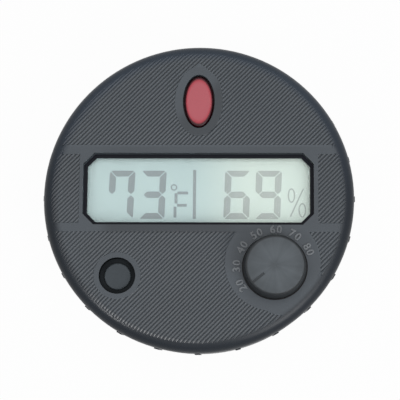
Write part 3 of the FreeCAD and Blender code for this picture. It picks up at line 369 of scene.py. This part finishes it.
def clear_sheet(name, tint, hide, rough):
    """Glass or film: nearly clear, with a little haze and its gloss."""
    f = Finish(name)
    haze = f.grain(9 * MM, 1.0, 0.5)
    return f.done(f.skin(Base_Color=tint, Roughness=rough, Alpha=hide * 0.8 + hide * 0.4 * haze))


def reflector(name, left, right):
    """The pearl sheet behind the display: pale grey green with a very fine grain, and a painted gradient of
    light, darker and bluer to the left.
    """
    f = Finish(name)
    x = f.axes(f.place(centre=CELL))[0]
    # painted light: lighter and greener to the right
    colour = f.blend(f.step(x, -3 * MM, 11 * MM), left, right)
    pearl = f.grain(0.14 * MM, 3.0, 0.7)
    drift = f.grain(11 * MM, 1.0, 0.5)
    tone = f.blend(pearl * 0.05 + drift * 0.05, colour, paint(120, 130, 130))
    return f.done(f.skin(Base_Color=tone, Metallic=0.4, Roughness=0.55 + 0.1 * pearl,
                         Normal=f.relief(pearl, 0.002 * MM)))


def red_lens(name):
    """The lamp's lens: red plastic, with a painted pale reflection over its middle and painted shade at its
    rounded rim.
    """
    f = Finish(name)
    x, y = f.axes(f.place(centre=LENS))[:2]
    reach = ((x / LENS_HALF[0]) ** 2.0 + (y / LENS_HALF[1]) ** 2.0) ** 0.5
    cloud = f.grain(1.6 * MM, 2.0, 0.5)
    # painted reflection: pale pink over the middle
    middle = f.blend(f.step(reach + 0.1 * cloud, 0.74, 0.95), paint(150, 72, 80), paint(144, 42, 54))
    # painted shade: deep red at the rounded rim
    tone = f.blend(f.step(reach + 0.02 * cloud, 0.82, 0.93), middle, paint(34, 2, 8))
    skin = f.grain(0.14 * MM, 2.0, 0.6)
    return f.done(f.skin(Base_Color=tone, Roughness=0.32 + 0.12 * cloud, Specular_IOR_Level=0.2,
                         Normal=f.relief(skin, 0.004 * MM)))


def metal(name, colour, rough=0.3, streak=(1, 1, 1)):
    """Rolled or pressed metal: fine streaks in one direction and small dull spots."""
    f = Finish(name)
    lines = f.grain(0.25 * MM, 3.0, 0.7, f.place(stretch=streak))
    spots = f.grain(2.5 * MM, 3.0, 0.6)
    tone = f.blend(f.step(lines * 0.6 + spots * 0.4, 0.3, 0.75), tinted(colour, 0.82), colour)
    return f.done(f.skin(Base_Color=tone, Metallic=1.0, Roughness=rough - 0.08 + 0.2 * lines,
                         Normal=f.relief(lines, 0.003 * MM)))


def laminate(name, colour, thread):
    """The board: lacquer over glass cloth, whose weave shows faintly."""
    f = Finish(name)
    x, y = f.axes(f.place())[:2]
    turns = 2 * math.pi / (0.7 * MM)
    weave = f.wave(x * turns) * f.wave(y * turns) * 0.5 + 0.5
    tone = f.blend(weave * 0.6 + 0.4 * f.grain(3 * MM), colour, thread)
    return f.done(f.skin(Base_Color=tone, Roughness=0.32 + 0.1 * weave, Coat_Weight=0.3, Coat_Roughness=0.2,
                         Normal=f.relief(weave, 0.006 * MM)))


def striped_rubber(name, dark, light):
    """The strip between board and glass: thin carbon layers in pale rubber."""
    f = Finish(name)
    x, y = f.axes(f.place())[:2]
    bars = f.wave(x * (2 * math.pi / (0.36 * MM))) * 0.5 + 0.5
    low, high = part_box("contact_strip")
    core = 1 - f.step(abs(y - (low.y + high.y) / 2), 0.45 * MM, 0.55 * MM)
    tone = f.blend(f.step(bars, 0.4, 0.6) * core, light, dark)
    return f.done(f.skin(Base_Color=tone, Roughness=0.7 + 0.1 * bars,
                         Normal=f.relief(f.grain(0.2 * MM), 0.004 * MM)))


def felt(name, colour):
    """Needled felt: short pale and dark fibres, rough all over."""
    f = Finish(name)
    fibres = f.grain(0.22 * MM, 4.0, 0.75, f.place(stretch=(1, 0.35, 1)))
    tufts = f.grain(1.1 * MM, 2.0, 0.6)
    nap = fibres * 0.7 + tufts * 0.3
    tone = f.blend(f.step(nap, 0.25, 0.75), tinted(colour, 0.6), colour)
    return f.done(f.skin(Base_Color=tone, Roughness=0.92, Sheen_Weight=0.3, Normal=f.relief(nap, 0.06 * MM)))


# the second colour is painted shade on the rim and wall
BLACK = shell_plastic("black_shell_plastic", paint(60, 65, 70), paint(24, 29, 35))
CONTROL = cap_plastic("black_cap_plastic", paint(50, 55, 59))
KNOB_BLACK = turned_plastic("black_knob_plastic", paint(68, 73, 77))
MASK = moulded("mask_plastic", paint(12, 14, 21), rough=0.6, specular=0.12)
FILM = clear_sheet("polarizer_film", paint(206, 218, 214), 0.04, 0.22)
GLASS = clear_sheet("display_glass", paint(224, 236, 232), 0.02, 0.06)
# the left and right colours are a painted gradient of light across the display
PEARL = reflector("pearl_reflector", paint(157, 176, 176), paint(181, 194, 187))
INK = reflector("pearl_under_switched_bars", paint(114, 124, 127), paint(147, 155, 151))
# painted highlight: the digits are the case's plastic, painted lighter
NUMBERS = moulded("glossy_number_plastic_painted_lighter", paint(84, 88, 92), rough=0.3, depth=0.002 * MM)
LENS_RED = red_lens("red_lens_plastic")
LED_CLEAR = moulded("led_epoxy", paint(214, 96, 92), rough=0.2, depth=0.001 * MM)
INNER = moulded("inner_grey_plastic", paint(150, 152, 150), rough=0.5)
RUBBER = striped_rubber("striped_rubber", paint(30, 30, 32), paint(196, 178, 170))
SWITCH = moulded("switch_plastic", paint(38, 38, 40), rough=0.4)
ROTOR = moulded("rotor_plastic", paint(226, 222, 208), rough=0.45)
CARBON = moulded("potentiometer_plastic", paint(44, 62, 96), rough=0.5)
BOARD = laminate("board_laminate", paint(26, 84, 52), paint(46, 108, 66))
CHIP = moulded("chip_epoxy", paint(34, 34, 36), rough=0.55)
SENSOR = moulded("sensor_plastic", paint(224, 226, 224), rough=0.45)
BEAD = moulded("bead_epoxy", paint(34, 28, 24), rough=0.25, depth=0.002 * MM)
FELT = felt("filter_felt", paint(206, 204, 196))
CAN = metal("can_steel", paint(196, 198, 200), 0.26)
CELL_STEEL = metal("cell_steel", paint(204, 206, 208), 0.3, (1, 0.08, 1))
SPRING = metal("spring_steel", paint(198, 196, 186), 0.28, (0.1, 1, 1))
SCREW = metal("screw_steel", paint(150, 150, 152), 0.34)
RESISTOR = moulded("resistor_body", paint(40, 40, 42), rough=0.4)

FINISHES = {
    "front_shell": BLACK, "rear_cover": BLACK, "battery_door": BLACK,
    "display_mask": MASK, "front_polarizer": FILM, "front_glass": GLASS, "rear_glass": PEARL,
    "rear_reflector": PEARL, "display_holder": INNER, "contact_strip": RUBBER,
    "lamp_lens": LENS_RED, "lamp_led": LED_CLEAR,
    "button_cap": CONTROL, "switch_body": SWITCH, "switch_plunger": SWITCH, "switch_dome": SPRING,
    "set_knob": KNOB_BLACK, "knob_clip": SPRING, "potentiometer_rotor": ROTOR, "potentiometer_body": CARBON,
    "circuit_board": BOARD, "controller_chip": CHIP, "timing_crystal": CAN, "resistors": RESISTOR,
    "humidity_sensor": SENSOR, "temperature_bead": BEAD, "vent_filter": FELT,
    "coin_cell": CELL_STEEL, "negative_contact": SPRING, "positive_contact": SPRING,
    "cover_screws": SCREW, "board_screws": SCREW,
}


def dress(piece, material):
    if piece.data.materials:
        for i in range(len(piece.data.materials)):
            piece.data.materials[i] = material
    else:
        piece.data.materials.append(material)


for node, material in FINISHES.items():
    dress(frame["nodes"][node], material)


# ================================================================ the bench
def alone(piece):
    """Only this piece is selected, and it is the active one."""
    bpy.ops.object.select_all(action="DESELECT")
    piece.select_set(True)
    bpy.context.view_layer.objects.active = piece
    return piece


def fresh(name, add, **size):
    """A new primitive under a name, with nothing else selected."""
    bpy.ops.object.select_all(action="DESELECT")
    add(**size)
    piece = bpy.context.active_object
    piece.name = name
    piece.data.name = name
    return piece


def settle(piece):
    """The piece's place goes into its mesh, and its object back to the origin."""
    alone(piece)
    bpy.ops.object.transform_apply(location=True, rotation=True, scale=True)
    return piece


def modify(piece, kind, **settings):
    """One modifier, set and applied."""
    alone(piece)
    made = piece.modifiers.new(kind.lower(), kind)
    for name, value in settings.items():
        setattr(made, name, value)
    bpy.ops.object.modifier_apply(modifier=made.name)
    return piece


def cut(piece, tool):
    """The tool's shape is taken off the piece, and the tool is gone."""
    modify(piece, "BOOLEAN", object=tool, operation="DIFFERENCE", solver="EXACT", use_self=False)
    bpy.data.objects.remove(tool)
    return piece


def pick(piece, faces=None, edges=None):
    """In edit mode, selects only the faces or edges that a test of their place says yes to."""
    alone(piece)
    mesh = piece.data
    for group in (mesh.vertices, mesh.edges, mesh.polygons):
        group.foreach_set("select", [False] * len(group))
    if faces:
        for p in mesh.polygons:
            p.select = bool(faces(p.center, p.normal))
        mode = "FACE"
    else:
        for e in mesh.edges:
            a, b = (mesh.vertices[v].co for v in e.vertices)
            e.select = bool(edges(a, b))
        mode = "EDGE"
    bpy.ops.object.mode_set(mode="EDIT")
    bpy.ops.mesh.select_mode(type=mode)
    return piece


def leave():
    bpy.ops.object.mode_set(mode="OBJECT")


def smooth(piece, degrees=32):
    """Smooth over shallow edges, with the broad faces left true."""
    alone(piece)
    bpy.ops.object.shade_smooth_by_angle(angle=math.radians(degrees))
    modify(piece, "WEIGHTED_NORMAL", mode="FACE_AREA", weight=100, keep_sharp=True)
    return piece


def closed(piece, gap=0.0005 * MM):
    """Doubles merged and faces turned outwards."""
    alone(piece)
    bpy.ops.object.mode_set(mode="EDIT")
    bpy.ops.mesh.select_all(action="SELECT")
    bpy.ops.mesh.remove_doubles(threshold=gap)
    bpy.ops.mesh.normals_make_consistent(inside=False)
    leave()
    return piece


def copy_of(piece, name):
    twin = piece.copy()
    twin.data = piece.data.copy()
    twin.name = twin.data.name = name
    bpy.context.scene.collection.objects.link(twin)
    twin.parent = None
    return twin


def joined(name, pieces):
    bpy.ops.object.select_all(action="DESELECT")
    for piece in pieces:
        piece.select_set(True)
    bpy.context.view_layer.objects.active = pieces[0]
    if len(pieces) > 1:
        bpy.ops.object.join()
    pieces[0].name = pieces[0].data.name = name
    return pieces[0]


def block(name, low, high, turn=0.0):
    """A box between two corners, turned about its own middle."""
    low, high = Vector(low), Vector(high)
    size = high - low
    piece = fresh(name, bpy.ops.mesh.primitive_cube_add, size=1, location=(low + high) / 2,
                  rotation=(0, 0, math.radians(turn)))
    piece.scale = size
    return settle(piece)


def disc(name, centre, radii, low, high, sides=72, turn=0.0):
    """An upright round or oval block."""
    piece = fresh(name, bpy.ops.mesh.primitive_cylinder_add, vertices=sides, radius=1, depth=1,
                  location=(centre[0], centre[1], (low + high) / 2), rotation=(0, 0, math.radians(turn)))
    piece.scale = (radii[0], radii[1], high - low)
    return settle(piece)


# ================================================================ the ridged face
def groove_bars():
    """Four-sided bars, side by side, that cut the diagonal grooves. Each stands a little over the face."""
    over = 0.01 * MM
    tall = GROOVE_DEPTH + over
    half = GROOVE_WIDTH / 2 * tall / GROOVE_DEPTH
    reach = shell_high.x + 2 * MM
    count = 2 * int(reach / RIDGE_PITCH) + 1
    side = Vector((math.sin(math.pi / 4), -math.cos(math.pi / 4), 0)) * RIDGE_PITCH
    start = side * (-(count - 1) / 2)
    bars = fresh("groove_bars", bpy.ops.mesh.primitive_cylinder_add, vertices=4, radius=1, depth=2 * reach,
                 location=(start.x, start.y, FACE + over), rotation=(0, math.pi / 2, math.pi / 4))
    bars.scale = (tall, half, 1)
    settle(bars)
    modify(bars, "ARRAY", count=count, use_relative_offset=False, use_constant_offset=True,
           constant_offset_displace=side)
    return bars


def plain_grounds():
    """The blocks that keep the grooves off the plain parts of the face. Those that meet share no plane."""
    low, high = FACE - 1 * MM, FACE + 2 * MM
    wide = shell_high.x + 4 * MM
    lap = 0.5 * MM
    yield block("beside_window", (PLAIN_LEFT, PLAIN_FOOT - lap, low), (PLAIN_RIGHT, PLAIN_TOP + lap, high))

    def lifted(name, spot, radii, lift, *shape):
        return disc(name, spot, radii, low + lift, high + lift, *shape)

    lift = 0.01 * MM
    yield block("band_over", (-wide, PLAIN_TOP, low + lift), (wide, BAND_TOP, high + lift))
    yield block("band_under", (-wide, BAND_FOOT, low + lift), (wide, PLAIN_FOOT, high + lift))
    yield lifted("round_cap", CAP, (CAP_GROUND, CAP_GROUND), 0.02 * MM)
    round_knob = (KNOB.x + KNOB_GROUND_OFF[0], KNOB.y + KNOB_GROUND_OFF[1])
    yield lifted("round_knob", round_knob, (KNOB_GROUND, KNOB_GROUND), 0.03 * MM, 96)
    beside_knob = (KNOB.x + KNOB_SIDE_OFF[0], KNOB.y + KNOB_SIDE_OFF[1])
    yield lifted("beside_knob", beside_knob, (KNOB_SIDE, KNOB_SIDE), 0.05 * MM, 96)
    yield lifted("round_lens", LENS, LENS_GROUND, 0.02 * MM)
    across, up = LENS_GROUND
    touch = up * up / LENS_TIP                       # height of the point where the tip's sides meet the oval
    half = across * math.sqrt(1 - (touch / up) ** 2)
    yield lifted("tip_of_lens", (LENS.x, LENS.y + touch), (half, LENS_TIP - touch), 0.04 * MM, 4)


bars = groove_bars()
for ground in plain_grounds():
    cut(bars, ground)

face = copy_of(frame["nodes"]["front_shell"], "ridged_front")
face.animation_data_clear()
closed(face)
moat = disc("moat", KNOB, (MOAT, MOAT), FACE - MOAT_DEPTH, FACE + 1 * MM, 96)
cut(moat, disc("island", KNOB, (MOAT_INNER, MOAT_INNER), FACE - 2 * MM, FACE + 2 * MM, 72))
cut(face, moat)
cut(face, bars)
alone(face)
bpy.ops.object.shade_smooth_by_angle(angle=math.radians(24))
groove_side = Vector((-1, 1, 0)).normalized()
groove_slope = math.sin(math.atan2(GROOVE_DEPTH, GROOVE_WIDTH / 2))


def keeps_its_edges(spot, normal):
    """Level faces, and the two sides of every groove."""
    level = abs(normal.z) > 0.9995
    high_up = spot.z > FACE - GROOVE_DEPTH - 0.02 * MM
    sloping = abs(abs(normal.dot(groove_side)) - groove_slope) < 0.004 and abs(normal.x + normal.y) < 0.004
    return level or high_up and sloping


pick(face, faces=keeps_its_edges)
bpy.ops.mesh.select_mode(type="EDGE")
bpy.ops.mesh.mark_sharp()
leave()
modify(face, "WEIGHTED_NORMAL", mode="FACE_AREA_WITH_ANGLE", weight=50, keep_sharp=True)
dress(face, BLACK)
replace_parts(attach(face, "case"), "front_shell")


# ================================================================ the raised numbers round the knob
def measured(piece):
    """The middle of a piece across and up, and its height."""
    xs = [v.co.x for v in piece.data.vertices]
    ys = [v.co.y for v in piece.data.vertices]
    return (min(xs) + max(xs)) / 2, (min(ys) + max(ys)) / 2, max(ys) - min(ys)


def raised_digit(character):
    """One raised digit, its foot a little into the face."""
    piece = fresh("digit_" + character, bpy.ops.object.text_add)
    text = piece.data
    text.body = character
    text.align_x, text.align_y = "CENTER", "CENTER"
    text.size = DIAL_HEIGHT * 1.38                   # about right, and scaled below
    text.extrude = DIAL_RAISED / 2
    text.offset = 0.02 * MM
    text.bevel_depth = 0.03 * MM
    text.bevel_resolution = 1
    text.resolution_u = 4
    alone(piece)
    bpy.ops.object.convert(target="MESH")
    piece = bpy.context.active_object
    middle, level, tall = measured(piece)
    piece.data.transform(Matrix.Diagonal((DIAL_HEIGHT / tall, DIAL_HEIGHT / tall, 1, 1))
                         @ Matrix.Translation((-middle, -level, 0)))
    return piece


masters, digits = {}, []
for place, character in enumerate(DIAL_NUMBERS):
    if character == " ":
        continue
    if character not in masters:
        masters[character] = raised_digit(character)
    digit = copy_of(masters[character], "dial_digit")
    angle = math.radians(DIAL_START - DIAL_STEP * (place + 0.5))
    spot = (KNOB.x + DIAL_RING * math.cos(angle), KNOB.y + DIAL_RING * math.sin(angle), DIAL_MIDDLE)
    digit.data.transform(Matrix.Translation(spot) @ Matrix.Rotation(angle - math.pi / 2, 4, "Z"))
    digits.append(digit)
for master in masters.values():
    bpy.data.objects.remove(master)
numbers = smooth(closed(joined("dial_numbers", digits)), 30)
dress(numbers, NUMBERS)
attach(numbers, "case")

# ================================================================ the figures in the display
FIG_WIDE, FIG_TALL = 4.98 * MM, 9.5 * MM
FIG_MIDDLE = 0.74 * MM
BAR_ACROSS, BAR_UP = 1.27 * MM, 1.16 * MM
FIG_GAP = 0.15 * MM
FIG_THICK = 0.02 * MM
FIG_LEAN = math.tan(math.radians(2.2))
CORNER_SLIT, JOINT_SLIT = 1.9 * MM, 0.95 * MM      # half lengths of the slits between the bars
CORNER_SIDE, NOTCH_SIDE = 0.62 * MM, 0.86 * MM     # squares that take off the corners and notch the sides
SIDES_APART = 0.5 * MM                             # a bar whose middle is nearer than this lies across
HIGH_BAR = 2 * MM
PERCENT_BAR = (18.997 * MM, -0.78 * MM)            # its middle
PERCENT_BAR_HALF = (3.02 * MM, 0.14 * MM)
PERCENT_BAR_LEAN = math.degrees(math.atan2(5.48, 2.504))
LIT = {"7": "abcf", "3": "abcdg", "6": "acdefg", "9": "abcdfg"}
FIGURES = [("7", -15.0 * MM), ("3", -8.91 * MM), ("6", 7.46 * MM), ("9", 13.46 * MM)]


def upright_edge(a, b):
    return abs(a.x - b.x) + abs(a.y - b.y) < 1e-8


def eight():
    """All seven bars of one figure, about its own middle."""
    w, h, t = FIG_WIDE / 2, FIG_TALL / 2, FIG_THICK
    plate = block("figure", (-w, -h, 0), (w, h, t))
    inner = w - BAR_ACROSS
    tools = [
        block("upper_hole", (-inner, BAR_ACROSS / 2, -t), (inner, h - BAR_UP, 2 * t)),
        block("lower_hole", (-inner, -h + BAR_UP, -t), (inner, -BAR_ACROSS / 2, 2 * t)),
    ]

    def through(name, x, y, half, up, turn):
        """A block right through the plate, by its middle and half sizes."""
        tools.append(block(name, (x - half, y - up, -t), (x + half, y + up, 2 * t), turn))

    for sx in (-1, 1):
        upright = sx * (w - BAR_ACROSS / 2)
        for sy in (-1, 1):
            through("corner_slit", upright, sy * (h - BAR_UP / 2), CORNER_SLIT, FIG_GAP / 2, 45 * sx * sy)
            through("joint_slit", upright, 0, JOINT_SLIT, FIG_GAP / 2, 45 * sy)
            through("corner", sx * w, sy * h, CORNER_SIDE / 2, CORNER_SIDE / 2, 45)
        through("notch", sx * w, 0, NOTCH_SIDE / 2, NOTCH_SIDE / 2, 45)
    for tool in tools:
        cut(plate, tool)
    closed(plate, 0.00002 * MM)
    pick(plate, edges=upright_edge)
    bpy.ops.mesh.bevel(offset=0.07 * MM, segments=2, affect="EDGES")
    leave()
    return plate


def islands(piece):
    """The piece's loose parts, as pieces of their own."""
    alone(piece)
    bpy.ops.object.mode_set(mode="EDIT")
    bpy.ops.mesh.select_all(action="SELECT")
    bpy.ops.mesh.separate(type="LOOSE")
    leave()
    return list(bpy.context.selected_objects)


bars_of_eight = {}
for island in islands(eight()):
    x, y = measured(island)[:2]
    if abs(x) < SIDES_APART:
        key = "a" if y > HIGH_BAR else "d" if y < -HIGH_BAR else "g"
    elif x > 0:
        key = "b" if y > 0 else "c"
    else:
        key = "f" if y > 0 else "e"
    bars_of_eight[key] = island

figures = []
for figure, middle in FIGURES:
    for key in LIT[figure]:
        bar = copy_of(bars_of_eight[key], "figure_bar")
        lean = Matrix.Identity(4)
        lean[0][1] = FIG_LEAN
        bar.data.transform(Matrix.Translation((CELL.x + middle, FIG_MIDDLE, CELL_PLANE)) @ lean)
        figures.append(bar)
for island in bars_of_eight.values():
    bpy.data.objects.remove(island)


def ring(name, centre, outer, line, sides=32):
    """A flat oval ring."""
    low, high = CELL_PLANE, CELL_PLANE + FIG_THICK
    inner = (outer[0] - line, outer[1] - line)
    plate = disc(name, centre, outer, low, high, sides)
    return cut(plate, disc("hole", centre, inner, low - 1 * MM, high + 1 * MM, sides))


def stroke(name, low, high):
    """A flat bar of the small signs, by two corners in millimetres, with its corners eased."""
    piece = block(name, (low[0] * MM, low[1] * MM, CELL_PLANE),
                  (high[0] * MM, high[1] * MM, CELL_PLANE + FIG_THICK))
    pick(piece, edges=upright_edge)
    bpy.ops.mesh.bevel(offset=0.09 * MM, segments=2, affect="EDGES")
    leave()
    return piece


figures.append(ring("degree_ring", (-4.79 * MM, 2.18 * MM), (0.64 * MM, 0.64 * MM), 0.24 * MM))
figures.append(stroke("sign_top", (-4.12, 0.80), (-2.04, 1.38)))
figures.append(stroke("sign_middle", (-4.16, -1.62), (-2.28, -1.06)))
figures.append(stroke("sign_stem_upper", (-4.66, -1.00), (-4.08, 1.04)))
figures.append(stroke("sign_stem_lower", (-4.82, -3.74), (-4.26, -1.60)))
figures.append(stroke("divider", (-1.10, -4.01), (-0.50, 5.64)))
figures.append(ring("percent_ring_upper", (17.95 * MM, 0.60 * MM), (0.74 * MM, 1.44 * MM), 0.29 * MM, 40))
figures.append(ring("percent_ring_lower", (20.04 * MM, -2.27 * MM), (0.76 * MM, 1.43 * MM), 0.29 * MM, 40))
(bar_x, bar_y), (bar_half, bar_up) = PERCENT_BAR, PERCENT_BAR_HALF
figures.append(block("percent_bar", (bar_x - bar_half, bar_y - bar_up, CELL_PLANE),
                     (bar_x + bar_half, bar_y + bar_up, CELL_PLANE + FIG_THICK), PERCENT_BAR_LEAN))
display = closed(joined("display_figures", figures), 0.00001 * MM)
dress(display, INK)
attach(display, "case")


# ================================================================ marks by the battery door
door_low, door_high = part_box("battery_door")
DOOR_RADIUS = (door_high.x - door_low.x) / 2
DOOR = (door_low + door_high) / 2
DOOR_TURN = math.radians(next(j["range_deg"][1] for j in frame["joints"] if j["name"] == "battery_door_turn"))
MARK_RAISED = 0.18 * MM
MARK_OFF = 1.5 * MM                                # a mark's middle from the door's edge


def raised_mark(name, centre, radii, sides, turn=0.0, hollow=0.0):
    """A small raised mark on the underside, with its lower edge eased."""
    low, high = door_low.z - MARK_RAISED, door_low.z + 0.05 * MM
    piece = disc(name, centre, radii, low, high, sides, turn)
    pick(piece, edges=lambda a, b: a.z < low + 1e-7 and b.z < low + 1e-7)
    bpy.ops.mesh.bevel(offset=0.06 * MM, segments=2, affect="EDGES")
    leave()
    if hollow:
        cut(piece, disc("hollow", centre, (hollow, hollow), low - 1 * MM, high + 1 * MM, sides))
    smooth(closed(piece), 30)
    dress(piece, BLACK)
    return piece


pointer_spot = (DOOR.x + DOOR_RADIUS - MARK_OFF, DOOR.y)
pointer = raised_mark("door_pointer", pointer_spot, (0.95 * MM, 0.75 * MM), 3, 90)
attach(pointer, "door")
shut_spot = (DOOR.x + DOOR_RADIUS + MARK_OFF, DOOR.y)
shut_mark = raised_mark("door_shut_mark", shut_spot, (0.6 * MM, 0.6 * MM), 32)
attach(shut_mark, "case")
reach = DOOR_RADIUS + MARK_OFF
open_spot = (DOOR.x + reach * math.cos(DOOR_TURN), DOOR.y - reach * math.sin(DOOR_TURN))
open_mark = raised_mark("door_open_mark", open_spot, (0.75 * MM, 0.75 * MM), 32, hollow=0.42 * MM)
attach(open_mark, "case")


# ================================================================ the snap dome under the push button
dome_low, dome_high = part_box("switch_dome")
plunger_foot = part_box("switch_plunger")[0].z
travel = max(abs(v) for j in frame["joints"] if j["name"] == "button_press" for v in j["range_m"])
room_left = plunger_foot - travel - dome_low.z       # height left for the dome under the pressed plunger
dome = copy_of(frame["nodes"]["switch_dome"], "snap_dome")
dome.animation_data_clear()
smooth(closed(dome), 40)
dress(dome, SPRING)
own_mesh(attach(dome, "case"), "button_press", axis=(0, 0, 1),
          anchor=((dome_low.x + dome_high.x) / 2, (dome_low.y + dome_high.y) / 2, dome_low.z),
          keep=0.9 * room_left / (dome_high.z - dome_low.z))
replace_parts(dome, "switch_dome")


# ================================================================ floor, light and camera
def shown(f):
    """1 for what the camera sees, straight on or by way of gloss and glass, and 0 for light on the object."""
    camera_ray, glossy_ray, clear_ray = (f.node("ShaderNodeLightPath", output=i) for i in (0, 3, 6))
    either = camera_ray.reckon("MAXIMUM", camera_ray, glossy_ray)
    return either.reckon("MAXIMUM", either, clear_ray)


def floor_finish():
    """A pale floor. It is seen white, keeps a soft shadow, and is clear from below."""
    f = Finish("pale_floor")
    matt = f.node("ShaderNodeBsdfDiffuse", None, {"Color": paint(176, 176, 176)})
    white = f.node("ShaderNodeEmission", None, {"Color": (1, 1, 1, 1), "Strength": 1.0})
    top = f.node("ShaderNodeMixShader", None, {0: shown(f) * 0.97, 1: matt, 2: white})
    below = f.node("ShaderNodeNewGeometry", output=6)
    clear = f.node("ShaderNodeBsdfTransparent")
    return f.done(f.node("ShaderNodeMixShader", None, {0: below, 1: top, 2: clear}))


def plain_room():
    """An even, dim room that is seen white."""
    world = bpy.data.worlds.new("plain_room")
    f = Finish("plain_room", world)
    dim = f.node("ShaderNodeBackground", None, {"Color": (1, 1, 1, 1), "Strength": 0.14})
    white = f.node("ShaderNodeBackground", None, {"Color": (1, 1, 1, 1), "Strength": 1.0})
    mixed = f.node("ShaderNodeMixShader", None, {0: shown(f), 1: dim, 2: white})
    return f.done(mixed, "ShaderNodeOutputWorld")


floor = settle(fresh("floor", bpy.ops.mesh.primitive_plane_add, size=3, location=(0, 0, cad_low.z)))
dress(floor, floor_finish())
bpy.context.scene.world = plain_room()


def lamp(name, place, size, power):
    """An oblong lamp that looks at the object."""
    data = bpy.data.lights.new(name, "AREA")
    data.shape = "RECTANGLE"
    data.size, data.size_y = size
    data.energy = power
    made = bpy.data.objects.new(name, data)
    bpy.context.scene.collection.objects.link(made)
    made.location = place
    made.rotation_mode = "QUATERNION"
    made.rotation_quaternion = (-Vector(place)).to_track_quat("-Z", "Y")


lamp("top_lamp", place=(0.08, 0.05, 0.64), size=(0.75, 0.75), power=3.9)
lamp("edge_lamp", place=(-0.368, -0.224, 0.526), size=(0.3, 0.03), power=0.9)
lamp("ridge_lamp", place=(0.364, -0.392, 0.45), size=(0.34, 0.26), power=3.0)

AZIMUTH, TILT, ROLL = 12.687, 10.189, 0.489        # the camera's, in degrees
REACH = 0.300                                      # its distance in metres
FOCAL, SHIFT = 133.92, (-0.0024, 0.0234)
a, t, r = (math.radians(v) for v in (AZIMUTH, TILT, ROLL))
back = Vector((math.sin(a) * math.sin(t), -math.cos(a) * math.sin(t), math.cos(t)))
up = (Vector((0, 1, 0)) - back * back.y).normalized()
right = up.cross(back)
right, up = right * math.cos(r) + up * math.sin(r), up * math.cos(r) - right * math.sin(r)
camera_data = bpy.data.cameras.new("camera")
camera = bpy.data.objects.new("camera", camera_data)
bpy.context.scene.collection.objects.link(camera)
camera.matrix_world = Matrix.Translation(back * REACH) @ Matrix((right, up, back)).transposed().to_4x4()
camera_data.sensor_width = 36
camera_data.lens = FOCAL
camera_data.shift_x, camera_data.shift_y = SHIFT
camera_data.clip_start, camera_data.clip_end = 0.01, 10
bpy.context.scene.camera = camera
bpy.context.scene.view_settings.view_transform = "Standard"

bpy.context.view_layer.update()
